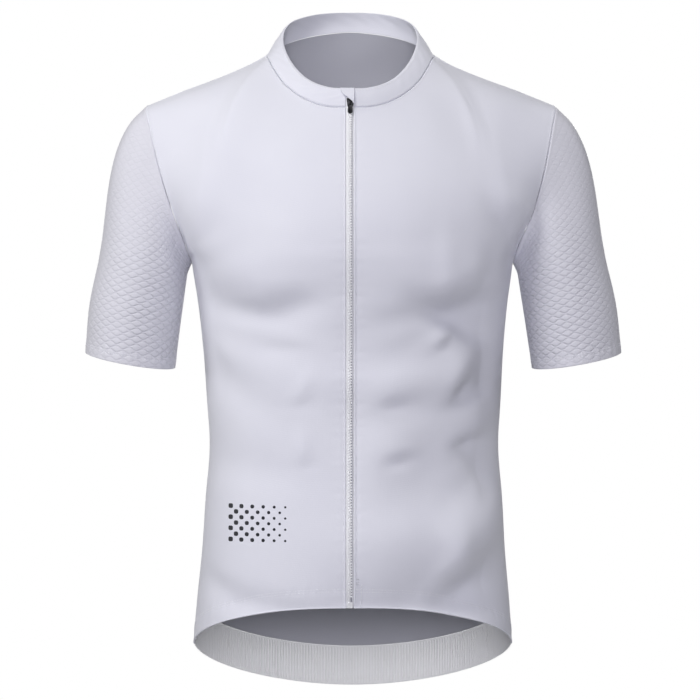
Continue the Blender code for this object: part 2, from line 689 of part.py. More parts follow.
def add_chain(points, tilt, drift):
    """The closed teeth, from the box to the slider."""
    rows = len(points) - COLLAR_ROWS
    offsets = np.tile([-CHAIN_HALF_WIDTH, CHAIN_HALF_WIDTH], (rows, 1))
    grid, lean = strip_grid(points[:rows], tilt[:rows], FRONT_EDGE["left"], drift[:rows], offsets)
    low = (BOX_SIZE[2] + 2 * GAP) / np.linalg.norm(grid[1, 0] - grid[0, 0])
    grid[0] += (grid[1] - grid[0]) * low
    shell("zip_chain", grid, lean, TEETH, face=CHAIN_FACE, wall=CHAIN_WALL)
    place, normal, up = spine_place(points, drift, points[0, 0, 2] + GAP + BOX_SIZE[2] / 2)
    mesh = bmesh.new()
    add_block(mesh, BOX_SIZE, (0.0, KNIT - BOX_SIZE[1] / 2, 0.0), 0.5)
    place_object(add_object("zip_box", mesh, TEETH), place, normal, up)


def add_block(mesh, size, centre, bevel):
    """Block with rounded edges."""
    matrix = Matrix.Translation(Vector(centre) * MM) @ Matrix.Diagonal((*(Vector(size) * MM), 1.0))
    made = bmesh.ops.create_cube(mesh, size=1.0, matrix=matrix)
    edges = {edge for vert in made["verts"] for edge in vert.link_edges}
    bmesh.ops.bevel(mesh, geom=list(edges), offset=bevel * MM, segments=2, affect="EDGES", profile=0.5)


def add_slider(points, drift):
    """Slider: front plate and flanges over the teeth, bail, post and back plate."""
    place, normal, up = spine_place(points, drift, SLIDER_Z)
    width, height = SLIDER_SIZE
    blocks = (
        # size (across, out, up), centre
        ((width, 1.2, height), (0.0, -1.0, 0.0)),
        ((1.0, 1.6, height), (-2.85, -0.1, 0.0)),
        ((1.0, 1.6, height), (2.85, -0.1, 0.0)),
        ((1.8, 5.4, 1.8), (0.0, 1.9, 3.4)),
        ((width, 1.0, height), (0.0, 4.4, 0.0)),
        ((1.6, 3.2, 1.0), (0.0, -3.0, 2.6)),
        ((1.6, 3.2, 1.0), (0.0, -3.0, -2.6)),
        ((1.6, 1.0, 6.2), (0.0, -4.7, 0.0)),
    )
    body = None
    for index, (size, centre) in enumerate(blocks):
        mesh = bmesh.new()
        add_block(mesh, size, centre, 0.25)
        name = "zip_slider" if index == 0 else "slider_block_%d" % index
        block = add_object(name, mesh, BLACK_METAL)
        if body is None:
            body = block
        else:
            join = body.modifiers.new("join", "BOOLEAN")
            join.operation = "UNION"
            join.object = block
            block.hide_render = True
            block.display_type = "WIRE"
            block.parent = body
    place_object(body, place, normal, up)
    pivot = place + normal * PULL_AXIS_HEIGHT
    place_object(pull_tab(), pivot, normal, up)


def pull_tab():
    """Flat tab that hangs from the bail by its top bar, its origin on the bar's axis."""
    half = PULL_WIDTH / 2
    bar = PULL_WALL / 2
    tip = [(half * math.cos(a), -PULL_LENGTH + half + half * math.sin(a))
           for a in np.linspace(0.0, -math.pi, 9)]
    outline = [(half, bar), *tip, (-half, bar)]
    slot = [(half - 1.1, -bar), (half - 1.1, -4.6), (-half + 1.1, -4.6), (-half + 1.1, -bar)]
    mesh = bmesh.new()
    loops = []
    for y in (-bar, bar):
        for line in (outline, slot):
            verts = [mesh.verts.new((x * MM, y * MM, z * MM)) for x, z in line]
            edges = [mesh.edges.new((a, b)) for a, b in zip(verts, verts[1:] + verts[:1])]
            loops.append((verts, edges))
    for side in (0, 2):
        bmesh.ops.triangle_fill(mesh, edges=loops[side][1] + loops[side + 1][1], use_beauty=True)
    for line in (0, 1):
        for near, far in zip(zip(loops[line][0], loops[line][0][1:] + loops[line][0][:1]),
                             zip(loops[line + 2][0], loops[line + 2][0][1:] + loops[line + 2][0][:1])):
            mesh.faces.new((near[0], near[1], far[1], far[0]))
    bmesh.ops.recalc_face_normals(mesh, faces=mesh.faces[:])
    return add_object("zip_pull", mesh, BLACK_METAL)


def add_garage(points, drift):
    """Cloth flap from the collar's top edge down to the slider."""
    collar_top = points[-1, 0, 2]
    stations = (
        # height, left limit, right limit, stand-off
        (collar_top + 0.4, -11.0, 3.2, 0.3),
        (collar_top - 3.5, -10.0, 3.0, 1.0),
        (collar_top - 9.0, -3.5, 2.2, 2.0),
    )
    grid = []
    lean = []
    for height, left, right, stand_off in reversed(stations):
        place, normal, _ = spine_place(points, drift, height)
        grid.append([place + normal * stand_off + np.array([x, 0.0, 0.0])
                     for x in np.linspace(left, right, 4)])
        lean.append([normal] * 4)
    shell("zip_garage", np.array(grid), np.array(lean), CLOTH, face=1.0, wall=1.0)


# ---------------------------------------------------------------------------- objects

def add_object(name, mesh, colour):
    """New object from a bmesh, smooth where the cloth is smooth, in its own material."""
    data = bpy.data.meshes.new(name)
    mesh.to_mesh(data)
    mesh.free()
    data.shade_smooth()
    data.set_sharp_from_angle(angle=math.radians(50))
    material = bpy.data.materials.new(name + "_finish")
    material.use_nodes = True
    shader = material.node_tree.nodes["Principled BSDF"]
    shader.inputs["Base Color"].default_value = (*colour, 1.0)
    metal = colour == BLACK_METAL
    shader.inputs["Metallic"].default_value = 0.6 if metal else 0.0
    shader.inputs["Roughness"].default_value = 0.35 if metal else 0.85
    data.materials.append(material)
    obj = bpy.data.objects.new(name, data)
    bpy.context.scene.collection.objects.link(obj)
    return obj


def place_object(obj, place, normal, up):
    """Put the object's origin at a place, its -Y along the normal and its Z along up."""
    out = Vector(normal)
    up = Vector(up)
    across = (-out).cross(up)
    turn = Matrix((across, -out, up)).transposed().to_4x4()
    obj.matrix_world = Matrix.Translation(Vector(place) * MM) @ turn


def main():
    for obj in list(bpy.data.objects):
        bpy.data.objects.remove(obj)
    grids, normals = worn_grids()
    seams = {
        "front_left": "high first last",
        "front_right": "high first last",
        "back": "low high first last",
        "sleeve_left": "high",
        "sleeve_right": "high",
        "collar": "low",
    }
    for name, edges in seams.items():
        sleeve = name.startswith("sleeve")
        colour = SLEEVE_CLOTH if sleeve else CLOTH
        shell(name, grids[name], normals[name], colour, edges, closed=sleeve)
    ribbed_band(grids["hem_gripper"], normals["hem_gripper"])
    pocket = slice(POCKET_ROWS[0], POCKET_ROWS[1] + 1), slice(POCKET_COLUMNS[0], POCKET_COLUMNS[1] + 1)
    shell("rear_pockets", grids["back"][pocket], normals["back"][pocket], CLOTH, face=GAP + KNIT)
    add_zip(grids, normals)


main()
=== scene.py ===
"""Short-sleeved cycling jersey, men's medium, filled out as it is when worn, and its looks.

Lengths are in millimetres. +Z is up, the front faces -Y, and +X is the wearer's left. Each cloth
panel is drawn as a coarse grid of points from the jersey's sizes. The grid is then made fine, the
creases are pressed into it, and it gets a wall, edges, seams and stitches. Rows run upwards, and
columns run anticlockwise seen from above. The hard zip pieces are modelled one by one.
"""
import math

import bmesh
import bpy
import numpy as np
from mathutils import Matrix, Vector


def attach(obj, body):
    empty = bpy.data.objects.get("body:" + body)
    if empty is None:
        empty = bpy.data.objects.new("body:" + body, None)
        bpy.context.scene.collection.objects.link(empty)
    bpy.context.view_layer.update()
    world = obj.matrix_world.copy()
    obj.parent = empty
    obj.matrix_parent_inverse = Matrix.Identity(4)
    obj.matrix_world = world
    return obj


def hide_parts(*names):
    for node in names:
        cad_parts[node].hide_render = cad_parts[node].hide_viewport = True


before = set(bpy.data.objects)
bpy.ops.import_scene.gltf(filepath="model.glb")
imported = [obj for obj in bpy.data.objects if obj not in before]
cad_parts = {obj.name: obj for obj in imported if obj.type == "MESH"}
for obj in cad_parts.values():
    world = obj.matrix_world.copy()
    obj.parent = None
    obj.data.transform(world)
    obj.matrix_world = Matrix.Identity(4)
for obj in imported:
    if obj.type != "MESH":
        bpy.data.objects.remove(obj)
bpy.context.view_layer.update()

MM = 0.001
KNIT = 0.9                  # wall of the knit as seen
SEAM_GAP = 0.12             # clear space between neighbouring panels
SQUARENESS = 2.3            # power of the body's rounded cross-section

ARMPIT_Z = -216.0
HEM_FRONT_Z = -570.0
HEM_SIDE_Z = -618.0
HEM_BACK_Z = -677.0
HEM_CURVE_FRONT = 1.05              # powers that shape the hem's curve in front and behind
HEM_CURVE_BACK = 0.85
GRIPPER_HEIGHT = 43.0
FRONT_EDGE = {"right": 4.6, "left": 3.8}    # distance of each front's zip edge from the teeth's line
ZIP_HALF_WIDTH = 156.0      # half width of the body at which the fronts' first columns are set out

# columns and rows of the coarse grids
NECK_COLUMNS = 7            # on each half of the neck seam
SHOULDER_COLUMNS = 6
GRIPPER_ROWS = 2
BODY_ROWS = 18
YOKE_ROWS = 11
CAP_ROWS = 7                # sleeve rows above the level of the armpit
CUFF_ROWS = 6
COLLAR_ROWS = 3
FAIRING_PASSES = 10
FAIRING_STEPS = (0.50, -0.52)       # of each pass: smooth the cloth, then swell it back to size

# Level sections of the body below the arms.
BODY = (
    # height, half width, depth in front, depth behind
    (-700, 165, 114, 122),
    (-677, 166, 114, 121),
    (-616, 167, 114, 119),
    (-568, 163.7, 113, 114),
    (-517, 159, 110.3, 104.5),
    (-467, 156, 106.6, 93.5),
    (-404, 151.6, 103, 84),
    (-366, 154, 103, 84),
    (-303, 158, 106.8, 93),
    (-252, 163.5, 114.5, 103.5),
    (-216, 169, 121.5, 112),
    (-180, 173, 120, 116.5),
)

# The neck seam and the collar's top edge, round one half of the neck.
NECK_HALF_WIDTH = 88.0
NECK_FRONT = 76.0
NECK_BACK = 62.0
COLLAR_HALF_WIDTH = 71.0
COLLAR_FRONT = 70.0
COLLAR_BACK = 59.0
COLLAR_BULGE = 1.6
NECK_SLOPE = (27.0, 62.0)           # of the cloth at the neck seam, degrees from upright: front, side
NECK_CORNER_FRONT = (-0.55, 0.66, 0.50)     # its direction where the shoulder seam meets the neck,
NECK_CORNER_BACK = (-0.55, 0.80, 0.05)      # with y taken towards the other panel
NECK_CORNER_REACH = 4               # columns past the corner that its direction still bends
YOKE_FULLNESS = (1.06, 1.34)        # how far the cloth rounds out: in general, by the side of the neck
FULLNESS_SPREAD = 2.2               # columns over which the greater fullness fades
ARMHOLE_PULL = 0.35                 # share of the panel's width that the armhole doesn't pull on
NECK = (
    # angle from centre front, height of the seam, height of the collar's top edge
    (0, -61, -40.5),
    (20, -58, -38),
    (38, -46, -29),
    (55, -29, -14),
    (74, -6.5, 6.5),
    (90, 0, 21),
    (110, 8, 36),
    (135, 21, 47),
    (160, 30, 53),
    (180, 33, 54),
)

# The shoulder seam, along the top of the shoulder.
SHOULDER = (
    # distance from the middle, height
    (88, 0),
    (114, -12.2),
    (145, -24.8),
    (182, -38.4),
    (215.5, -53),
)

# The armhole seam between armpit and shoulder tip, in front and behind.
ARMHOLE_FRONT = (
    # distance from the middle, y, height
    (173.5, -28, -204),
    (182, -43, -181),
    (191.5, -47, -150),
    (202, -41, -112),
    (210, -29, -77),
    (214.5, -15, -58),
)
ARMHOLE_BACK = (
    (175, 31, -207),
    (186, 50, -184),
    (196, 55, -150),
    (204.5, 48, -112),
    (211.5, 32, -76),
    (214.8, 16, -57),
)

# Sections across the left sleeve, below the armpit. lean turns the section out from level.
SLEEVE = (
    # x, y, height of the centre, lean in degrees, half width, half depth
    (220.8, 3, -222.5, 10.3, 47, 57),
    (229.3, 1, -270.5, 10.3, 48.6, 56),
    (234.8, -1, -319.5, 10.3, 47.5, 54),
)
CUFF_DIP = 5.0              # degrees by which the sections drop towards the front
SLEEVE_CAP_SLOPE = 37.0     # degrees below level at which the sleeve leaves the shoulder tip
SLEEVE_ARMPIT_WAY = (0.25, 0.0, -0.97)      # direction in which it leaves the armpit

# The worn garment's middle line drifts a little to the side.
DRIFT = (
    # height, sideways shift
    (-700, 0),
    (-616, 0.3),
    (-517, 1.2),
    (-404, 1.6),
    (-250, 0.2),
    (-100, -1.4),
    (-30, -2.2),
    (60, -2.4),
)
ZIP_X = -2.4                # the zip hangs straight here, so the cloth beside it drifts less
ZIP_SPREAD = 50.0           # distance over which the cloth is drawn to it
SEW_REACH = 1.5             # coarse rows or columns over which a panel follows its sewn edge

CREASE_FACING = 1.6         # how soon a crease gets its full depth where the cloth turns to its side

# Creases pressed into the worn cloth: side -1 is the front, +1 the back. A negative depth is a ridge.
FOLDS = (
    # side, x, height, half length, half width, turn from level in degrees, depth
    (-1, -113, -232, 70, 23, -26, -4),
    (-1, -102, -273, 58, 15, -16, 4.8),
    (-1, -60, -266, 31, 16, 1, 5.9),
    (-1, -83, -307, 47, 16, -17, 3.1),
    (-1, -131, -341, 70, 19, -36, 3.2),
    (-1, -99, -432, 70, 22, -8, 2.7),
    (-1, -71, -575, 70, 15, -15, 5),
    (-1, -103, -147, 64, 30, -37, 4.3),
    (-1, -177, -203, 42, 13, -68, 5.5),
    (-1, 30, -342, 70, 20, 0, -4),
    (-1, 34, -392, 70, 26, 76, -4),
    (-1, 38, -500, 70, 30, 1, -4),
    (-1, 20, -571, 70, 26, 1, 4.5),
    (-1, 66, -573, 70, 15, -1, 4.5),
    (-1, 94, -268, 59, 15, 13, 5.8),
    (-1, 105, -292, 70, 20, 24, 7),
    (-1, 107, -233, 70, 30, 15, -4),
    (-1, 47, -375, 31, 16, 19, 3.4),
    (-1, 79, -437, 38, 27, -87, 5.9),
    (-1, 120, -445, 70, 22, 52, 5.6),
    (-1, 90, -496, 70, 30, 8, -4),
    (-1, 116, -532, 52, 22, -51, -4),
    (-1, 155, -528, 70, 22, 39, 7),
    (-1, 121, -79, 66, 26, -68, 6.9),
    (-1, 183, -135, 70, 30, 75, -4),
    (-1, 182, -192, 34, 13, 64, 5.5),
    (1, -120, -250, 50, 17, 40, 7.5),
    (1, 112, -243, 44, 16, -36, 6),
    (1, -40, -352, 60, 17, 8, 5),
    (1, 62, -384, 50, 16, -14, 6),
    (1, -104, -402, 36, 15, -28, 5.5),
    (1, 120, -320, 34, 15, 30, 5.5),
    (1, 186, -196, 34, 12, 60, 5.5),
    (1, -184, -190, 32, 12, -62, 5.5),
)


# ---------------------------------------------------------------------------- curves

def smooth(keys, values, at):
    """Smooth curve through the values at the keys."""
    keys = np.asarray(keys, float)
    values = np.asarray(values, float)
    at = np.clip(np.asarray(at, float), keys[0], keys[-1])
    slopes = np.gradient(values, keys, axis=0)
    low = np.clip(np.searchsorted(keys, at, side="right") - 1, 0, len(keys) - 2)
    span = keys[low + 1] - keys[low]
    part = (at - keys[low]) / span
    if values.ndim == 2:
        span = span[..., None]
        part = part[..., None]
    return hermite(values[low], slopes[low] * span, values[low + 1], slopes[low + 1] * span, part)


def hermite(start, leave, end, arrive, part):
    """Cubic from start to end with the given tangents, at part 0 to 1."""
    square = part * part
    cube = square * part
    return (start * (2 * cube - 3 * square + 1) + leave * (cube - 2 * square + part)
            + end * (3 * square - 2 * cube) + arrive * (cube - square))


def column(table, *which):
    """The named columns of a table, as an array."""
    rows = np.array(table, float)
    return rows[:, which[0]] if len(which) == 1 else rows[:, which]


def between(at, keys, points):
    """Points of a line at some places along it, straight from one known point to the next."""
    return np.stack([np.interp(at, keys, points[:, axis]) for axis in range(3)], axis=-1)


def unit(vectors):
    """The vectors at length 1."""
    return vectors / np.linalg.norm(vectors, axis=-1, keepdims=True)


def fade(part):
    """Soft step from 0 to 1, at part 0 to 1."""
    part = np.clip(part, 0.0, 1.0)
    return part * part * (3 - 2 * part)


def bump(distance, width):
    """Soft round hump, 1 at distance 0."""
    return np.exp(-(distance / width) ** 2)


# ---------------------------------------------------------------------------- garment's form

def body_point(angle, height):
    """Point of the body tube. The angle in radians runs from centre front by the left side."""
    sizes = smooth(column(BODY, 0), column(BODY, 1, 2, 3), height)
    sine, cosine = np.sin(angle), np.cos(angle)
    power = 2.0 / SQUARENESS
    x = sizes[..., 0] * np.sign(sine) * np.abs(sine) ** power
    depth = np.where(cosine > 0, sizes[..., 1], sizes[..., 2])
    y = -depth * np.sign(cosine) * np.abs(cosine) ** power
    return np.stack([x, y, height + 0.0 * x], axis=-1)


def hem_height(angle):
    """The hem rises in front and drops behind in a rounded tail."""
    fall_front = (HEM_FRONT_Z - HEM_SIDE_Z) * (1 - np.clip(np.cos(angle), 0, 1)) ** HEM_CURVE_FRONT
    rise_back = (HEM_SIDE_Z - HEM_BACK_Z) * (1 - np.clip(-np.cos(angle), 0, 1)) ** HEM_CURVE_BACK
    return np.where(np.cos(angle) > 0, HEM_FRONT_Z - fall_front, HEM_BACK_Z + rise_back)


def neck_point(angle, top):
    """Point of the neck seam, or of the collar's top edge, at an angle from centre front."""
    height = smooth(np.radians(column(NECK, 0)), column(NECK, 2 if top else 1), angle)
    front = COLLAR_FRONT if top else NECK_FRONT
    back = COLLAR_BACK if top else NECK_BACK
    half_width = COLLAR_HALF_WIDTH if top else NECK_HALF_WIDTH
    depth = np.where(np.cos(angle) > 0, front, back)
    return np.stack([half_width * np.sin(angle), -depth * np.cos(angle), height], axis=-1)


def neck_angles(edge):
    """Angles of the columns round half the neck, from the zip edge to centre back."""
    start = math.asin(edge / NECK_HALF_WIDTH)
    front = np.linspace(start, math.pi / 2, NECK_COLUMNS + 1)
    back = np.linspace(math.pi / 2, math.pi, NECK_COLUMNS)
    return front, back


def shoulder_points():
    """Points of the left shoulder seam, from the neck to the tip."""
    distance = np.linspace(SHOULDER[0][0], SHOULDER[-1][0], SHOULDER_COLUMNS + 1)
    height = smooth(column(SHOULDER, 0), column(SHOULDER, 1), distance)
    return np.stack([distance, 0.0 * distance, height], axis=-1)


def armhole_halves():
    """Front and back half of the left armhole, each from the armpit to the shoulder tip."""
    armpit = body_point(np.array(math.pi / 2), np.array(ARMPIT_Z))
    armpit[1] = 0.0
    tip = shoulder_points()[-1]
    loop = np.array([ARMHOLE_BACK[0], armpit, *ARMHOLE_FRONT, tip, *ARMHOLE_BACK[::-1], armpit,
                     ARMHOLE_FRONT[0]])
    keys = np.concatenate([[0.0], np.cumsum(np.linalg.norm(np.diff(loop, axis=0), axis=1))])
    at_tip = len(ARMHOLE_FRONT) + 2
    front = smooth(keys, loop, np.linspace(keys[1], keys[at_tip], YOKE_ROWS + 1))
    back = smooth(keys, loop, np.linspace(keys[-2], keys[at_tip], YOKE_ROWS + 1))
    for half in (front, back):
        half[0] = armpit
        half[-1] = tip
    return front, back


def body_rows(angles, first_row):
    """Rows of the body tube at the columns' angles, up to the armpit."""
    hem = hem_height(angles)
    band = [hem + GRIPPER_HEIGHT * row / GRIPPER_ROWS for row in range(GRIPPER_ROWS)]
    start = hem + GRIPPER_HEIGHT
    rest = [start + (ARMPIT_Z - start) * row / BODY_ROWS for row in range(BODY_ROWS + 1)]
    heights = np.array(band + rest)[first_row:]
    return body_point(angles[None, :] + 0.0 * heights, heights)


def yoke_rows(angles, top, arrive):
    """Rows above the armpit: columns run up from the tube and come over to the top edge."""
    start = body_point(angles, np.full(len(angles), ARMPIT_Z))
    leave = unit(start - body_point(angles, np.full(len(angles), ARMPIT_Z - 1.0)))
    length = np.linalg.norm(top - start, axis=-1, keepdims=True)
    full = np.linalg.norm(arrive, axis=-1, keepdims=True)
    part = (np.arange(1, YOKE_ROWS + 1) / YOKE_ROWS)[:, None, None]
    return hermite(start, leave * length * full, top, arrive * length, part)


def pull_to_armhole(rows, armhole, outermost, share):
    """Shift the columns so that the outermost one is the armhole, fading towards the middle."""
    shift = armhole[1:] - rows[:, outermost]
    return rows + fade((share - ARMHOLE_PULL) / (1 - ARMHOLE_PULL))[None, :, None] * shift[:, None, :]


def arrivals(neck, corner):
    """Directions in which the cloth comes up to the neck seam and over to the shoulder seam.

    neck holds the angles from the middle of the body to the side of the neck, and corner is the
    direction there, where the two seams meet. The length of each says how full its column is.
    """
    to_side = fade(neck / (math.pi / 2))[:, None]
    slope = np.radians(NECK_SLOPE[0] + to_side * (NECK_SLOPE[1] - NECK_SLOPE[0]))
    inward = np.stack([-np.sin(neck), np.cos(neck), 0 * neck], axis=-1)
    climb = inward * np.sin(slope) + np.array([0.0, 0.0, 1.0]) * np.cos(slope)
    near = fade(2 * neck / (math.pi / 2) - 1)[:, None]
    past = fade(np.arange(1, SHOULDER_COLUMNS + 1) / NECK_CORNER_REACH)[:, None]
    across = np.tile([0.0, 1.0, 0.0], (SHOULDER_COLUMNS, 1))
    ways = np.concatenate([climb * (1 - near) + corner * near, corner * (1 - past) + across * past])
    beside = (np.arange(len(ways)) - (len(neck) - 1)) / FULLNESS_SPREAD
    full = YOKE_FULLNESS[0] + (YOKE_FULLNESS[1] - YOKE_FULLNESS[0]) * bump(beside, 1.0)
    return unit(ways) * full[:, None]


def faired(grid, first_row):
    """The grid with small crumples smoothed out above a row. Its edges stay as they are."""
    grid = grid.copy()
    for _ in range(FAIRING_PASSES):
        for step in FAIRING_STEPS:
            around = (grid[first_row:-2, 1:-1] + grid[first_row + 2:, 1:-1]
                      + grid[first_row + 1:-1, :-2] + grid[first_row + 1:-1, 2:]) / 4
            inside = grid[first_row + 1:-1, 1:-1]
            inside += step * (around - inside)
    return grid


def front_grid(edge):
    """Left front panel, from the zip edge to the side seam, from the hem to the shoulder."""
    count = NECK_COLUMNS + SHOULDER_COLUMNS
    start = math.asin((edge / ZIP_HALF_WIDTH) ** (SQUARENESS / 2))
    angles = np.linspace(start, math.pi / 2, count + 1)
    share = np.linspace(0.0, 1.0, count + 1)
    low = body_rows(angles, 0)
    neck, _ = neck_angles(edge)
    top = np.concatenate([neck_point(neck, False), shoulder_points()[1:]])
    arrive = arrivals(neck, np.array(NECK_CORNER_FRONT))
    arrive[0, 0] = 0.0
    armhole = armhole_halves()[0]
    rows = pull_to_armhole(yoke_rows(angles, top, arrive), armhole, -1, share)
    grid = np.concatenate([low, rows])
    near_edge = np.clip(1 - 4 * share, 0, 1)
    grid[..., 0] += (edge - grid[:, :1, 0]) * near_edge
    grid[-1] = top
    grid[GRIPPER_ROWS + BODY_ROWS:, -1] = armhole
    return faired(grid, GRIPPER_ROWS + BODY_ROWS)


def back_grid():
    """Back panel, from the left side seam round to the right one."""
    half = NECK_COLUMNS - 1 + SHOULDER_COLUMNS
    angles = np.linspace(math.pi / 2, math.pi, half + 1)
    share = np.linspace(1.0, 0.0, half + 1)
    low = body_rows(angles, GRIPPER_ROWS)
    _, neck = neck_angles(FRONT_EDGE["left"])
    top = np.concatenate([shoulder_points()[:0:-1], neck_point(neck, False)])
    arrive = arrivals((math.pi - neck)[::-1], np.array(NECK_CORNER_BACK))[::-1] * (1.0, -1.0, 1.0)
    arrive[-1, 0] = 0.0
    armhole = armhole_halves()[1]
    rows = pull_to_armhole(yoke_rows(angles, top, arrive), armhole, 0, share)
    grid = np.concatenate([low, rows])
    grid[-1] = top
    grid[:, -1, 0] = 0.0
    grid[BODY_ROWS:, 0] = armhole
    return faired(np.concatenate([grid, mirrored(grid)[:, 1:]], axis=1), BODY_ROWS)


def gripper_grid():
    """The band below the back panel, on the same columns."""
    half = NECK_COLUMNS - 1 + SHOULDER_COLUMNS
    angles = np.linspace(math.pi / 2, math.pi, half + 1)
    grid = body_rows(angles, 0)[:GRIPPER_ROWS + 1]
    grid[:, -1, 0] = 0.0
    return np.concatenate([grid, mirrored(grid)[:, 1:]], axis=1)


def mirrored(grid):
    """The same grid on the other side of the body."""
    return (grid * (-1.0, 1.0, 1.0))[:, ::-1]


def sleeve_section(row, angles):
    """Ring across the left sleeve: angle 0 is next to the body, a quarter turn is the front."""
    x, y, height, lean, half_width, half_depth = row
    lean = math.radians(lean)
    dip = math.radians(CUFF_DIP)
    outward = np.array([math.cos(lean), 0.0, math.sin(lean)])
    backward = np.array([0.0, math.cos(dip), math.sin(dip)])
    centre = np.array([x, y, height])
    return (centre - np.cos(angles)[:, None] * half_width * outward
            - np.sin(angles)[:, None] * half_depth * backward)


def sleeve_grid():
    """Left sleeve, from the cuff up to the armhole, closed round."""
    front, back = armhole_halves()
    armhole = np.concatenate([front, back[-2::-1]])
    angles = np.linspace(0.0, 2 * math.pi, len(armhole))
    rings = np.array([sleeve_section(row, angles) for row in SLEEVE])
    cap_slope = math.radians(SLEEVE_CAP_SLOPE)
    at_tip = np.array([math.cos(cap_slope), 0.0, -math.sin(cap_slope)])
    outside = ((1 - np.cos(angles)) / 2)[:, None]
    reach = np.linalg.norm(rings[0] - armhole, axis=-1, keepdims=True)
    leave = unit(SLEEVE_ARMPIT_WAY * (1 - outside) + at_tip * outside) * reach
    arrive = unit(rings[1] - rings[0]) * reach
    part = (np.arange(CAP_ROWS) / CAP_ROWS)[:, None, None]
    cap = hermite(armhole, leave, rings[0], arrive, part)
    steps = np.linspace(0.0, len(SLEEVE) - 1.0, CUFF_ROWS + 1)
    flat_rings = rings.reshape(len(SLEEVE), -1)
    lower = smooth(np.arange(len(SLEEVE)), flat_rings, steps).reshape(-1, len(armhole), 3)
    grid = np.concatenate([cap, lower])[::-1]
    grid[:, -1] = grid[:, 0]
    return grid


def collar_grid():
    """Stand-up collar, from the left zip edge round the back to the right one."""
    halves = []
    for side in ("left", "right"):
        front, back = neck_angles(FRONT_EDGE[side])
        angles = np.concatenate([front, back[1:]])
        low = neck_point(angles, False)
        high = neck_point(angles, True)
        part = (np.arange(COLLAR_ROWS + 1) / COLLAR_ROWS)[:, None, None]
        outward = np.stack([np.sin(angles), -np.cos(angles), 0 * angles], axis=-1)
        half = low * (1 - part) + high * part + 4 * COLLAR_BULGE * part * (1 - part) * outward
        half[:, 0, 0] = FRONT_EDGE[side]
        half[:, -1, 0] = 0.0
        halves.append(half)
    return np.concatenate([halves[0], mirrored(halves[1])[:, 1:]], axis=1)


def coarse_grids():
    """All the garment's grids, uncreased, and their unit normals, which pieces share at a seam."""
    grids = {
        "front_left": front_grid(FRONT_EDGE["left"]),
        "front_right": mirrored(front_grid(FRONT_EDGE["right"])),
        "back": back_grid(),
        "hem_gripper": gripper_grid(),
        "sleeve_left": sleeve_grid(),
        "sleeve_right": mirrored(sleeve_grid()),
        "collar": collar_grid(),
    }
    own = np.concatenate([face_normals(grid).reshape(-1, 3) for grid in grids.values()])
    points = np.concatenate([grid.reshape(-1, 3) for grid in grids.values()])
    _, owner = np.unique(np.round(points * 1e3).astype(np.int64), axis=0, return_inverse=True)
    owner = owner.ravel()
    shared = unit(np.stack([np.bincount(owner, own[:, axis]) for axis in range(3)], axis=-1))[owner]
    split = np.cumsum([grid[..., 0].size for grid in grids.values()])[:-1]
    parts = np.split(shared, split)
    return grids, {name: part.reshape(grid.shape) for (name, grid), part in zip(grids.items(), parts)}


def face_normals(grid):
    """Unit normals at a grid's points, from its own faces."""
    total = np.zeros_like(grid)
    face = np.cross(grid[1:, 1:] - grid[:-1, :-1], grid[1:, :-1] - grid[:-1, 1:])
    for corner in (total[:-1, :-1], total[:-1, 1:], total[1:, 1:], total[1:, :-1]):
        corner += face
    return unit(total)


def crease_depth(points, normals, folds):
    """How far the creases press each point in."""
    depth = np.zeros(points.shape[:-1])
    for side, x, height, half_length, half_width, turn, deep in folds:
        turn = math.radians(turn)
        right = points[..., 0] - x
        up = points[..., 2] - height
        along = (right * math.cos(turn) + up * math.sin(turn)) / half_length
        across = (up * math.cos(turn) - right * math.sin(turn)) / half_width
        facing = np.clip(CREASE_FACING * side * normals[..., 1], 0.0, 1.0)
        depth += deep * facing * np.exp(-along ** 2 - across ** 2)
    return depth


# ---------------------------------------------------------------------------- fine cloth

EDGE_STEPS = (0.15, 0.4, 0.7, 1.1, 1.6, 2.2, 3.0)   # extra lines of points beside an edge

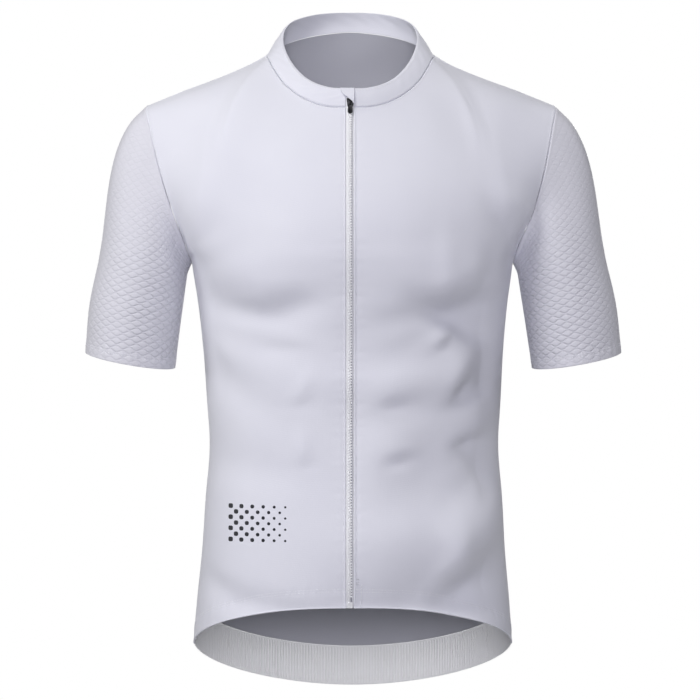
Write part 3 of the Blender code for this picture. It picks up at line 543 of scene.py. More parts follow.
# Smaller creases that only the fine cloth has, with the same sizes as FOLDS.
SMALL_FOLDS = tuple(
    (side, x, height, half_length, half_width, turn, depth)
    for side, half_length, half_width, creases in (
        (-1, 29, 12, ((123, -354, 30, 5.7),)),
        (-1, 32, 12, ((130, -402, 36, 4),)),
        (-1, 30, 12, ((92, -297, 29, -4), (139, -230, 73, 3.6), (160, -538, 88, 4))),
        (-1, 45, 24, (
            (108, -560, 0, 3.4), (120, -284, 0, 3.4), (132, -320, 90, 3.4), (72, -560, 0, 3.4),
            (120, -560, 0, 3.4), (84, -560, 0, 2.4), (156, -560, 0, 2.4), (108, -500, 150, -2))),
        (-1, 34, 12, (
            (120, -284, 150, 4.6), (132, -332, 60, 2.4), (132, -548, 0, 2.6), (96, -536, 60, -2.2),
            (144, -428, 90, 2.6), (108, -236, 30, -2.2), (84, -272, 150, 2.6),
            (156, -188, 120, 2.6), (-156, -212, 30, -1.9), (144, -344, 90, 2.6),
            (108, -500, 90, -2.2), (180, -164, 150, -2.2), (-144, -548, 150, 2),
            (132, -428, 120, 2.6), (132, -392, 30, -1.9), (96, -224, 90, -2.2),
            (-108, -260, 0, -1.1), (-156, -296, 90, 2.6), (-156, -248, 90, 2.6),
            (168, -200, 120, 2.6), (96, -272, 150, 2), (144, -332, 90, 2), (84, -548, 60, -2.2),
            (132, -428, 150, 2.2), (120, -548, 60, 2.4))),
        (-1, 22, 11, ((108, -332, 60, -2.2), (144, -452, 60, 2.1))),
        (-1, 14, 9, ((96, -296, 30, -2),)),
        (-1, 18, 10, (
            (-52, -350, 60, -1.7), (-52, -410, 90, -1.9), (-122, -570, 0, 1.9),
            (-132, -310, 120, -1.3), (48, -410, 0, -1.8))),
        (-1, 28, 10, ((98, -280, 150, 2.6), (98, -500, 120, -2.2))),
        (-1, 15, 7.2, ((46, -365, 10, 2.4),)),
        (-1, 14, 7.2, ((48, -423, 18, 2.1),)),
        (-1, 15, 7, ((113, -350, 48, 3),)),
        (-1, 13, 7, ((115, -405, 16, 4.2),)),
        (-1, 12, 6.5, ((98, -303, 38, 2),)),
        (-1, 18, 7, ((-55, -366, 4, 0.7),)),
        (-1, 16, 7, ((-47, -427, 4, 0.6),)),
        (-1, 26, 7, ((-66, -308, -2, 0.8),)),
        (-1, 34, 18, ((141, -531, 52, 3),)),
        (-1, 26, 13, ((120, -268, 12, 5.2),)),
        (1, 44, 9, ((-70, -300, 24, 2),)),
        (1, 40, 9, ((84, -312, -22, 2),)),
        (1, 60, 10, ((0, -120, 2, 1.4),)),
        (1, 30, 9, ((-96, -470, -30, 1.8),)),
        (1, 32, 9, ((98, -478, 26, 1.8),)),
    )
    for x, height, turn, depth in creases)


def stations(cells, fine, first_cell, last_cell):
    """Places of the fine lines across some coarse cells, closer beside both ends.

    first_cell and last_cell are the sizes of the end cells.
    """
    even = np.linspace(0.0, cells, cells * fine + 1)
    near_first = np.array((0.0,) + EDGE_STEPS) / first_cell
    near_last = cells - np.array((0.0,) + EDGE_STEPS)[::-1] / last_cell
    space = 0.5 / fine
    kept = even[(even > near_first[-1] + space) & (even < near_last[0] - space)]
    return np.concatenate([near_first, kept, near_last])


def refined(grid, rows, columns, ring=False):
    """Smooth surface through a coarse grid, at fractional rows and columns."""
    if ring:
        grid = np.concatenate([grid[:, -4:-1], grid, grid[:, 1:4]], axis=1)
        columns = columns + 3
    up = smooth(np.arange(len(grid)), grid.reshape(len(grid), -1), rows)
    turned = up.reshape(len(rows), -1, 3).swapaxes(0, 1)
    along = smooth(np.arange(len(turned)), turned.reshape(len(turned), -1), columns)
    return along.reshape(len(columns), len(rows), 3).swapaxes(0, 1)


def seen_from(array, edge):
    """The array turned so that its first line is that edge."""
    if edge in ("first", "last"):
        array = array.swapaxes(0, 1)
    return array[::-1] if edge in ("high", "last") else array


class Cloth:
    """A worn panel on a fine grid of points.

    rows and columns are the places of its lines in the coarse grid. face is its outer face before
    seams mark it, out the unit normals there, and away the distance of each point from each edge.
    """

    def __init__(self, face, rows, columns, ring=False):
        self.face = face
        self.rows = rows
        self.columns = columns
        self.ring = ring
        self.measure()

    def measure(self):
        """Find the normals and the distances from the edges."""
        face = self.face
        if self.ring:
            face = np.concatenate([face[:, -2:-1], face, face[:, 1:2]], axis=1)
        out = face_normals(face)
        self.out = out[:, 1:-1] if self.ring else out
        up = along_lines(self.face)
        across = along_lines(self.face.swapaxes(0, 1)).T
        self.away = {"low": up, "high": up[-1:] - up, "first": across, "last": across[:, -1:] - across}

    def places(self, edge):
        """Coarse places along an edge, and of the lines in from it."""
        level = edge in ("low", "high")
        along, inward = (self.columns, self.rows) if level else (self.rows, self.columns)
        return along, inward[::-1] if edge in ("high", "last") else inward

    def line(self, edge, distance, relief):
        """Points of the outer skin and their normals, on a line at a distance in from an edge."""
        skin = seen_from(self.face + self.out * relief[..., None], edge)
        out = seen_from(self.out, edge)
        away = seen_from(self.away[edge], edge)
        beyond = np.clip(np.argmax(away >= distance, axis=0), 1, None)
        each = np.arange(len(beyond))
        near, far = away[beyond - 1, each], away[beyond, each]
        part = ((distance - near) / (far - near))[:, None]
        points = skin[beyond - 1, each] * (1 - part) + skin[beyond, each] * part
        return points, unit(out[beyond - 1, each] * (1 - part) + out[beyond, each] * part)


def along_lines(points):
    """Length from the first row to each point, up the columns."""
    steps = np.linalg.norm(np.diff(points, axis=0), axis=-1)
    return np.concatenate([np.zeros_like(steps[:1]), np.cumsum(steps, axis=0)])


def worn(grid, normals, rows, columns, ring=False):
    """Panel with its creases pressed in and the garment's drift."""
    plain = refined(grid, rows, columns, ring)
    out = unit(refined(normals, rows, columns, ring))
    face = plain - out * crease_depth(plain, out, FOLDS + SMALL_FOLDS)[..., None]
    drift = smooth(column(DRIFT, 0), column(DRIFT, 1), plain[..., 2])
    beside_zip = bump(plain[..., 0], ZIP_SPREAD) * (plain[..., 1] < 0)
    face[..., 0] += drift + (ZIP_X - drift) * beside_zip
    return Cloth(face, rows, columns, ring)


def sew(cloth, edge, span, other, other_edge, other_span):
    """Bring part of an edge onto the neighbour's. The spans are the coarse places that meet."""
    along, inward = cloth.places(edge)
    chosen = (along > min(span) - 1e-6) & (along < max(span) + 1e-6)
    share = (along[chosen] - span[0]) / (span[1] - span[0])
    other_along, _ = other.places(other_edge)
    line = seen_from(other.face, other_edge)[0]
    at = other_span[0] + share * (other_span[1] - other_span[0])
    target = between(at, other_along, line)
    skin = seen_from(cloth.face, edge)
    give = fade(1 - np.abs(inward - inward[0]) / SEW_REACH)[:, None, None]
    skin[:, chosen] += give * (target - skin[0, chosen])[None]


def rear_grid(grids, normals):
    """The band and the back panel as one grid, and its normals."""
    return [np.concatenate([part["hem_gripper"][:-1], part["back"]]) for part in (grids, normals)]


def make_panels():
    """All the garment's panels, fine and sewn together."""
    grids, normals = coarse_grids()
    rear, rear_normals = rear_grid(grids, normals)
    neck_end = NECK_COLUMNS
    front_end = NECK_COLUMNS + SHOULDER_COLUMNS
    rear_end = 2 * front_end - 2
    armpit_row = GRIPPER_ROWS + BODY_ROWS
    top_row = armpit_row + YOKE_ROWS
    tip_column = YOKE_ROWS
    # each call of stations: coarse cells, fine lines in each, sizes of the first and the last cell
    front_rows = stations(top_row, 8, 21.0, 18.0)
    panels = {
        "front_left": worn(grids["front_left"], normals["front_left"], front_rows,
                           stations(front_end, 6, 20.0, 12.0)),
        "front_right": worn(grids["front_right"], normals["front_right"], front_rows,
                            stations(front_end, 6, 12.0, 20.0)),
        "hem_gripper": worn(rear, rear_normals, stations(GRIPPER_ROWS, 5, 21.0, 21.0),
                            stations(rear_end, 30, 20.0, 20.0)),
        "back": worn(rear, rear_normals, GRIPPER_ROWS + stations(top_row - GRIPPER_ROWS, 7, 21.0, 18.0),
                     stations(rear_end, 6, 14.0, 14.0)),
        "collar": worn(grids["collar"], normals["collar"], stations(COLLAR_ROWS, 6, 8.0, 8.0),
                       stations(2 * front_end, 8, 11.0, 11.0)),
    }
    for side in ("left", "right"):
        name = "sleeve_" + side
        panels[name] = worn(grids[name], normals[name], stations(CAP_ROWS + CUFF_ROWS, 15, 16.0, 20.0),
                            np.linspace(0.0, 2 * tip_column, 2 * tip_column * 9 + 1), ring=True)
    at_front, at_collar = (0, neck_end), (neck_end, 2 * front_end - neck_end)
    body, arm = (GRIPPER_ROWS, armpit_row), (armpit_row, top_row)
    arm_front, arm_back = (0, tip_column), (2 * tip_column, tip_column)
    collar_end = (at_collar[1], 2 * front_end)
    seams = (
        # a panel, its edge and the span there, and the neighbour that it is brought onto
        ("front_left", "high", at_front, "collar", "low", at_front),
        ("front_right", "high", (neck_end - 1, front_end), "collar", "low", collar_end),
        ("back", "high", (neck_end - 1, rear_end - neck_end + 1), "collar", "low", at_collar),
        ("front_left", "last", arm, "sleeve_left", "high", arm_front),
        ("front_right", "first", arm, "sleeve_right", "high", arm_back),
        ("back", "first", arm, "sleeve_left", "high", arm_back),
        ("back", "last", arm, "sleeve_right", "high", arm_front),
        ("back", "high", (0, neck_end - 1), "front_left", "high", (front_end, neck_end)),
        ("back", "high", (rear_end - neck_end + 1, rear_end), "front_right", "high", (neck_end - 1, 0)),
        ("back", "first", body, "front_left", "last", body),
        ("back", "last", body, "front_right", "first", body),
    )
    # the second round mends what the later seams of the first one moved
    for _ in range(2):
        for name, edge, span, other, other_edge, other_span in seams:
            sew(panels[name], edge, span, panels[other], other_edge, other_span)
    for panel in panels.values():
        panel.measure()
    return panels


# ---------------------------------------------------------------------------- meshes

def quads(index):
    """Faces of a grid of point numbers, outwards."""
    corners = [index[:-1, :-1], index[:-1, 1:], index[1:, 1:], index[1:, :-1]]
    return np.stack(corners, axis=-1).reshape(-1, 4)


def cloth_piece(name, cloth, relief, lining, finish, seams="", weave=None,
                folded=False):
    """Closed thin wall on a panel, with a UV map in metres.

    relief and lining are the heights of its outer and inner skin over the panel's plain face, and
    seams are the edges that stop short of a neighbour. weave is kept as an attribute of the points.
    Cloth that is folded double shows its face on both sides, and other cloth its reverse inside, which
    the knit's finish paints darker as painted shade.
    """
    face = cloth.face.copy()
    for edge in seams.split():
        line = seen_from(face, edge)
        line[0] += unit(line[1] - line[0]) * SEAM_GAP / 2
    rows, columns = face.shape[:2]
    own = columns - 1 if cloth.ring else columns
    skins = np.stack([face + cloth.out * relief[..., None], face + cloth.out * lining[..., None]])
    index = np.arange(rows * own).reshape(rows, own)
    if cloth.ring:
        index = np.concatenate([index, index[:, :1]], axis=1)
    size = rows * own
    place = np.arange(rows * columns).reshape(rows, columns)
    faces = [quads(index), size + quads(index)[:, ::-1]]
    spots = [quads(place), quads(place)[:, ::-1]]
    rims = {"low": False, "high": True}
    if not cloth.ring:
        rims.update(first=True, last=False)
    for edge, forward in rims.items():
        line, spot = seen_from(index, edge)[0], seen_from(place, edge)[0]
        if not forward:
            line, spot = line[::-1], spot[::-1]
        faces.append(np.stack([line[:-1], line[1:], size + line[1:], size + line[:-1]], axis=-1))
        spots.append(np.stack([spot[:-1], spot[1:], spot[1:], spot[:-1]], axis=-1))
    obj = new_mesh(name, skins[:, :, :own].reshape(-1, 3), np.concatenate(faces).tolist())
    flat = np.stack([cloth.away["first"], cloth.away["low"]], axis=-1).reshape(-1, 2) * MM
    uv = obj.data.uv_layers.new(name="cloth")
    uv.data.foreach_set("uv", flat[np.concatenate(spots).ravel()].ravel())
    # the reverse attribute marks the inner skin, which the knit's finish paints darker as shade
    reverse = obj.data.attributes.new("reverse", "FLOAT", "POINT")
    reverse.data.foreach_set("value", np.repeat([0.0, 0.0 if folded else 1.0], size))
    if weave is not None:
        kept = obj.data.attributes.new("weave", "FLOAT_VECTOR", "POINT")
        kept.data.foreach_set("vector", np.tile(weave[:, :own].ravel(), 2))
    solid, width, length, area = PIECES[name]
    dressed(obj, finish, solid)


def new_mesh(name, points, faces):
    """Smooth mesh object from points in millimetres."""
    data = bpy.data.meshes.new(name)
    data.from_pydata((points * MM).tolist(), [], faces)
    data.shade_smooth()
    obj = bpy.data.objects.new(name, data)
    bpy.context.scene.collection.objects.link(obj)
    return obj


def dressed(obj, finish, solid=None, body="jersey"):
    """Give a piece its finish, let it ride on its body, and hide the solid that it stands for."""
    obj.data.materials.append(finish)
    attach(obj, body)
    if solid:
        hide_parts(solid)


# ---------------------------------------------------------------------------- cloth panels

# The cut pieces. The knit is cut 3 % narrower and shorter than it is worn.
PIECES = {
    # name: the solid it stands for, flat width and length in metres, area in square metres
    "front_left_panel": ("front_left", 0.272, 0.613, 0.1175),
    "front_right_panel": ("front_right", 0.271, 0.612, 0.1140),
    "back_panel": ("back", 0.509, 0.663, 0.2600),
    "hem_gripper_band": ("hem_gripper", 0.468, 0.042, 0.0188),
    "sleeve_left_panel": ("sleeve_left", 0.418, 0.264, 0.0586),
    "sleeve_right_panel": ("sleeve_right", 0.415, 0.264, 0.0586),
    "collar_stand": ("collar", 0.516, 0.031, 0.0108),
    "rear_pockets_panel": ("rear_pockets", 0.353, 0.206, 0.0642),
    "zip_garage_flap": ("zip_garage", 0.016, 0.018, 0.00019),
    "zip_tape_left_woven": ("zip_tape_left", 0.015, 0.557, 0.0083),
    "zip_tape_right_woven": ("zip_tape_right", 0.015, 0.557, 0.0083),
}
SEAM_DIP = 0.6              # depth of the cloth in a seam
SEAM_ROLL = 0.25            # height of the soft roll beside it
HEM_FOLD = 18.5             # height of the front hem's turned-up fold
HEM_ROWS = (17.0, 19.6)     # its two rows of stitches
CUFF_FOLD = 11.0
CUFF_STITCHES = (8.6, 11.0)
FOLD_STEP = 0.22            # that a turned-up fold shows on the outside
STITCH_DENT = 0.32          # to which a row of stitches pulls the cloth in
HEM_PUCKER = 0.42           # height of the small waves along a stitched hem
HEM_PUCKER_PITCH = 8.5
CUFF_PUCKER_PITCH = 9.0
FOLD_WALL = 0.7             # extra wall where cloth is folded double
EDGE_WALL = 1.2             # wall that rounds over at a folded edge
ROUNDNESS = 0.45            # radius of the rounding, as a part of that wall
HEM_FLARE = 0.55            # how far the hem's very edge turns out
ZIP_PUCKER = 0.22
ZIP_PUCKER_PITCH = 11.0
GUARD_HEIGHT = 25.0         # of the stitches beside the foot of the zip
GUARD_PLACE = 7.9           # of their line, from the zip edge
PIPING_WIDTH = 1.8          # folded edge beside the zip on the wearer's left
PIPING_RISE = 0.5
COLLAR_WALL = 1.4
COLLAR_FOLD = 0.6           # wall of its pressed top edge
COLLAR_PUCKER = 0.3
COLLAR_PUCKER_PITCHES = (17.0, 23.0)        # of its outer and its inner layer
RIB_PITCH = 3.2             # of the elastic band
RIB_RELIEF = 0.2
RIB_RELIEF_INSIDE = 0.3
LATTICE_WIDTH = 14.0        # cell of the sleeves' embossed lattice
LATTICE_HEIGHT = 8.2
LATTICE_SWAY = 0.34         # of its sunk lines, up and down, as a part of their spacing
LATTICE_RELIEF = 0.25       # of the cloth between the lines; the lines themselves are in the finish, as a bump and as painted shade
LATTICE_TAUT = 0.27         # what is left of it where the cloth is stretched
LATTICE_SLACK = 0.83        # what it has more where the cloth is slack
STRETCH_WIDTH = 62.0        # of the stretched cloth on the outer arm
STRETCH_HEIGHTS = (65.0, 205.0)     # above the cuff, between which the stretch spreads all round
POCKET_COLUMNS = (3, 21)    # of the pocket panel, in columns and rows of the band and back
POCKET_ROWS = (3, 12)
POCKET_FACE = 1.25          # outer skin of the pocket panel over the back
POCKET_CROWN = 2.2
POCKET_GAPE = 3.0           # how far the pockets' tops stand off the back
POCKET_BAND = 13.0          # height of the elastic band along the pockets' tops
POCKET_BAND_RISE = 0.3
POCKET_PUCKER = 0.35
POCKET_PUCKER_PITCHES = (9.0, 10.0)         # beside the upright rows of stitches, and along the foot
POCKET_DENT = 0.25          # to which its rows of stitches pull it in
POCKET_STITCHES = 2.2       # place of those rows from its edges
CHANNEL_STITCHES = 1.4      # and to both sides of the middle of a channel
POCKET_CLEARANCE = 0.12     # least space between the pocket panel and the back
POCKET_LEAST_WALL = 0.7


def near(away, reach, soft):
    """1 beside an edge and 0 beyond a reach, with a soft step between."""
    return fade((reach - away) / soft)


def seam_roll(away):
    """Cloth dips into a seam and swells a little beside it."""
    return SEAM_ROLL * bump(away - 2.2, 1.1) - SEAM_DIP * bump(away, 0.75)


def rounded(away, wall):
    """How much a wall's skin falls where it rounds over to a free edge."""
    radius = ROUNDNESS * wall
    short = np.clip(1 - away / radius, 0, 1)
    return radius * (1 - np.sqrt(1 - short ** 2))


def round_over(relief, lining, away, wall):
    """Bring a wall's two skins together towards a free edge."""
    relief -= rounded(away, wall)
    lining += rounded(away, wall)


def pucker(along, pitch):
    """Uneven small waves along a stitched line, between -1 and 1."""
    turn = 2 * math.pi * along / pitch
    return 0.6 * np.sin(turn + 0.9 * np.sin(turn / 3.3)) + 0.4 * np.sin(turn * 0.61 + 1.7)


def hem_marks(away, along, fold, stitches, pitch):
    """Relief of a turned-up hem: its step, the pulled-in stitch rows, and the puckers."""
    marks = FOLD_STEP * near(away, fold + 1.5, 1.2)
    for row in stitches:
        marks -= STITCH_DENT * bump(away - row, 0.8)
    return marks + HEM_PUCKER * pucker(along, pitch) * bump(away - fold + 2, 6.0)


def guard_line(height):
    """Distance from the zip edge of the stitches that hold the zip guard, near the hem."""
    return GUARD_PLACE - 1.1 * near(height, 7.0, 7.0) + 0.25 * np.sin(height / 1.7)


def make_front(side, cloth, finish):
    """Front panel: zip edge, neck, shoulder, armhole and side seams, and a turned-up hem."""
    zip_edge, side_edge = ("first", "last") if side == "left" else ("last", "first")
    at_zip, at_hem = cloth.away[zip_edge], cloth.away["low"]
    at_side, at_top = cloth.away[side_edge], cloth.away["high"]
    relief = seam_roll(at_side) + seam_roll(at_top)
    relief += hem_marks(at_hem, cloth.away["first"], HEM_FOLD, HEM_ROWS, HEM_PUCKER_PITCH)
    relief += ZIP_PUCKER * pucker(at_hem, ZIP_PUCKER_PITCH) * bump(at_zip - 6.0, 6.0)
    relief += HEM_FLARE * near(at_hem, 2.6, 2.6)
    if side == "left":
        relief += PIPING_RISE * near(at_zip, PIPING_WIDTH + 0.3, 0.5) - 0.25 * bump(at_zip - 2.5, 0.5)
        guard = at_zip - guard_line(at_hem)
        over_guard = 0.5 * near(guard, 0.4, 0.8) - 0.9 * bump(guard, 0.8)
        relief += near(at_hem, GUARD_HEIGHT + 1, 2.0) * over_guard
    else:
        relief += 0.15 * bump(at_zip - 0.8, 0.6) - 0.2 * bump(at_zip - 2.3, 0.6)
    lining = -KNIT - FOLD_WALL * near(at_hem, HEM_FOLD + 0.8, 0.8) - 0.15 * near(at_zip, 9.0, 1.0)
    for free in (at_zip, at_hem):
        round_over(relief, lining, free, EDGE_WALL)
    cloth_piece("front_" + side + "_panel", cloth, relief, lining, finish, side_edge + " high")
    return relief


def make_back(cloth, finish):
    """Back panel, seamed all round."""
    relief = sum(seam_roll(cloth.away[edge]) for edge in ("low", "high", "first", "last"))
    lining = np.full_like(relief, -KNIT)
    cloth_piece("back_panel", cloth, relief, lining, finish, "low high first last")
    return relief


def make_band(cloth, finish):
    """Elastic band at the back hem, ribbed on both faces."""
    middle = cloth.away["first"] - cloth.away["first"][:, -1:] / 2
    at_hem = cloth.away["low"]
    waves = np.cos(2 * math.pi * middle / RIB_PITCH)
    inside = fade((at_hem - 1.5) / 2.0) * fade((cloth.away["high"] - 1.5) / 2.0)
    relief = RIB_RELIEF * waves * inside
    relief += sum(seam_roll(cloth.away[edge]) for edge in ("high", "first", "last"))
    lining = -KNIT - RIB_RELIEF - RIB_RELIEF_INSIDE * waves * inside
    round_over(relief, lining, at_hem, EDGE_WALL)
    cloth_piece("hem_gripper_band", cloth, relief, lining, finish, "high first last")
    return relief


def lattice(turn, rise):
    """Pillowed scales in staggered rows: 1 in their middles, 0 on the sunk lines between.

    The lines wave up and down, each against the next; turn is the angle along their waves, and rise
    counts the lines.
    """
    wave = LATTICE_SWAY * np.cos(turn)
    below, above = (np.abs((line - 1) % 2 - 1) for line in (rise - wave, rise + wave + 1))
    return fade(np.minimum(below, above) / 0.7)


def make_sleeve(side, cloth, finish):
    """Sleeve with its embossed lattice, an underarm seam and a turned-up cuff."""
    middle = np.argmin(np.abs(cloth.columns - YOKE_ROWS))
    across = cloth.away["first"] - cloth.away["first"][:, middle:middle + 1]
    at_cuff = cloth.away["low"]
    at_seam = np.minimum(cloth.away["first"], cloth.away["last"])
    turn = 2 * math.pi / LATTICE_WIDTH * (across + 1.2 * np.sin(at_cuff / 31))
    rise = 2 / LATTICE_HEIGHT * (at_cuff + 0.9 * np.sin(across / 23))
    clear = fade((cloth.away["high"] - 3.0) / 3.0) * fade((at_seam - 2.5) / 2.5)
    # worn, the cloth is stretched over the shoulder and the outer arm, and its lattice lies flat there
    outer = bump(across, STRETCH_WIDTH)
    below = near(at_cuff, STRETCH_HEIGHTS[1], STRETCH_HEIGHTS[1] - STRETCH_HEIGHTS[0])
    slack = LATTICE_TAUT + LATTICE_SLACK * (1 - outer) * below
    uneven = 0.82 + 0.18 * np.sin(across / 9.7 + 2.1 * np.sin(at_cuff / 13)) * np.sin(at_cuff / 7.1)
    slack = slack * clear * uneven * (1 - 0.4 * near(at_cuff, CUFF_FOLD + 1, 2.0))
    relief = LATTICE_RELIEF * slack * lattice(turn, rise)
    relief += seam_roll(cloth.away["high"]) + seam_roll(at_seam)
    relief += hem_marks(at_cuff, across, CUFF_FOLD, CUFF_STITCHES, CUFF_PUCKER_PITCH)
    lining = -KNIT - FOLD_WALL * near(at_cuff, CUFF_FOLD + 0.8, 0.8)
    round_over(relief, lining, at_cuff, EDGE_WALL)
    weave = np.stack([turn, rise, slack], axis=-1)
    cloth_piece("sleeve_" + side + "_panel", cloth, relief, lining, finish, "high", weave)
    return relief


def make_collar(cloth, finish):
    """Stand-up collar of two layers, its top edge folded."""
    at_top = cloth.away["high"]
    at_zip = np.minimum(cloth.away["first"], cloth.away["last"])
    outside, inside = (COLLAR_PUCKER * pucker(cloth.away["first"], pitch)
                       for pitch in COLLAR_PUCKER_PITCHES)
    relief = seam_roll(cloth.away["low"]) + 0.2 * near(at_top, 3.6, 0.8) - 0.75 * near(at_top, 2.2, 2.2)
    relief += outside * bump(at_top - 9.0, 7.0)
    lining = -COLLAR_WALL - inside * bump(at_top - 8.0, 6.0)
    round_over(relief, lining, at_zip, COLLAR_WALL)
    round_over(relief, lining, at_top, COLLAR_FOLD)
    cloth_piece("collar_stand", cloth, relief, lining, finish, "low", folded=True)
    return relief


def make_pockets(finish):
    """Three rear pockets: one panel stitched down at its sides, its bottom and two channels."""
    grids, normals = coarse_grids()
    cloth = worn(*rear_grid(grids, normals),
                 POCKET_ROWS[0] + stations(POCKET_ROWS[1] - POCKET_ROWS[0], 7, 17.0, 17.0),
                 POCKET_COLUMNS[0] + stations(POCKET_COLUMNS[1] - POCKET_COLUMNS[0], 6, 14.0, 14.0))
    across, width = cloth.away["first"], cloth.away["first"][:, -1:]
    share = across / width
    at_side = np.minimum(across, cloth.away["last"])
    at_channel = np.minimum(np.abs(across - width / 3), np.abs(across - width * 2 / 3))
    at_low, at_top = cloth.away["low"], cloth.away["high"]
    bulge = np.abs(np.sin(3 * math.pi * share)) ** 0.8
    uneven = 1 + 0.15 * np.sin(5.1 * share + at_low / 40)
    relief = POCKET_FACE + POCKET_CROWN * bulge * uneven * fade(at_low / 45)
    relief += POCKET_GAPE * bulge * near(at_top, 60.0, 60.0)
    relief += POCKET_BAND_RISE * near(at_top, POCKET_BAND, 0.8)
    upright, level = (POCKET_PUCKER * pucker(at, pitch)
                      for at, pitch in zip((at_low, across), POCKET_PUCKER_PITCHES))
    relief += upright * (bump(at_channel - 4, 4.5) + bump(at_side - 5, 5.0))
    relief += level * bump(at_low - 6, 6.0)
    relief -= POCKET_DENT * (bump(at_side - POCKET_STITCHES, 0.7) + bump(at_low - POCKET_STITCHES, 0.7)
                             + bump(at_channel - CHANNEL_STITCHES, 0.6))
    lining = np.maximum(relief - KNIT, POCKET_CLEARANCE)
    relief = np.maximum(relief, lining + POCKET_LEAST_WALL)
    edge = np.minimum(np.minimum(at_side, at_low), at_top)
    relief -= rounded(edge, KNIT)
    lining = np.minimum(lining, relief - 0.05)
    cloth_piece("rear_pockets_panel", cloth, relief, lining, finish)
    return cloth, relief


# ---------------------------------------------------------------------------- stitches

STITCH_LENGTH = 2.3
STITCH_PITCH = 3.1
THREAD_THICKNESS = 0.5      # real thread is 0.3, too fine to show
STITCH_LIFT = 0.06          # of a stitch's middle over the cloth
NECK_STITCHES = 1.9         # places of rows from the seams
ARMHOLE_STITCHES = 2.2
BAND_STITCHES = 2.0
COLLAR_STITCHES = (1.6, 3.0)        # from its seam and from its top edge
COLLAR_GAPS = (2.0, 3.0)    # length without stitches at the ends of its rows beside the zip
GUARD_THREAD = 1.6          # times as thick, for the stitches of the zip guard
GUARD_LIFT = 0.15
TACK_ENDS = (2.2, 5.0)      # of the bar tack, from the zip edge
TACK_HEIGHTS = (23.7, 24.3, 26.7, 27.3, 29.7, 30.3)
POCKET_GAPS = (2.0, 2.0)    # length without stitches at both ends of a row on the pockets


def stitch_shape():
    """One stitch, a small rounded bar along Y: its points and faces."""
    ball = primitive(bpy.ops.mesh.primitive_uv_sphere_add, segments=6, ring_count=4, radius=0.5,
                     rotation=(math.pi / 2, 0, 0))
    return taken(ball, (THREAD_THICKNESS, STITCH_LENGTH, THREAD_THICKNESS))


def primitive(operator, **settings):
    """New primitive, with its place, turn and size applied to its mesh."""
    bpy.ops.object.select_all(action="DESELECT")
    operator(**settings)
    bpy.ops.object.transform_apply(location=True, rotation=True, scale=True)
    return bpy.context.object


def taken(shape, scale=(1.0, 1.0, 1.0)):
    """Points and faces of a modelled shape, which is then removed."""
    points = np.array([vert.co for vert in shape.data.vertices]) * scale
    faces = [list(face.vertices) for face in shape.data.polygons]
    bpy.data.objects.remove(shape)
    return points, faces


def along(points, out, pitch, start=0.0, stop=0.0):
    """Evenly spaced places along a line: middles, directions and normals."""
    length = along_lines(points[:, None])[:, 0]
    count = max(1, int((length[-1] - start - stop) / pitch))
    at = start + (np.arange(count) + 0.5) * (length[-1] - start - stop) / count
    way = unit(between(at + pitch / 4, length, points) - between(at - pitch / 4, length, points))
    normal = between(at, length, out)
    normal = unit(normal - way * (normal * way).sum(axis=-1, keepdims=True))
    return between(at, length, points), way, normal


def strewn(name, shape, places, finish, lift=0.0, solid=None):
    """Copies of a small shape as one piece: its Y along each place's direction, its Z outwards."""
    points, faces = shape
    middle, way, normal = (np.concatenate([place[part] for place in places]) for part in range(3))
    side = np.cross(way, normal)
    turned = (points[None, :, :1] * side[:, None] + points[None, :, 1:2] * way[:, None]
              + points[None, :, 2:] * normal[:, None])
    whole = turned + (middle + normal * lift)[:, None]
    copies = [[corner + len(points) * copy for corner in face] for copy in range(len(middle))
              for face in faces]
    obj = new_mesh(name, whole.reshape(-1, 3), copies)
    dressed(obj, finish, solid)
    return obj


def up_line(cloth, relief, distance):
    """Point of the outer skin and its normal in each row, at a distance from the first edge."""
    across = cloth.away["first"]
    distance = np.broadcast_to(distance, len(across))
    skin = cloth.face + cloth.out * relief[..., None]
    points, out = (np.array([between(*row) for row in zip(distance, across, values)])
                   for values in (skin, cloth.out))
    return points, unit(out)


def guard_stitches(cloth, relief):
    """The stitches that hold the zip guard inside the left front: a line with a bar tack above."""
    height = cloth.away["low"][:, 0]
    low = (height > 1.0) & (height < GUARD_HEIGHT)
    points, out = up_line(cloth, relief, guard_line(height))
    rows = [along(points[low], out[low], STITCH_PITCH)]
    ends = [up_line(cloth, relief, distance) for distance in TACK_ENDS]
    for at in TACK_HEIGHTS:
        row = np.argmin(np.abs(height - at))
        points, out = (np.array([end[part][row] for end in ends]) for part in (0, 1))
        rows.append(along(points, out, STITCH_PITCH))
    return rows


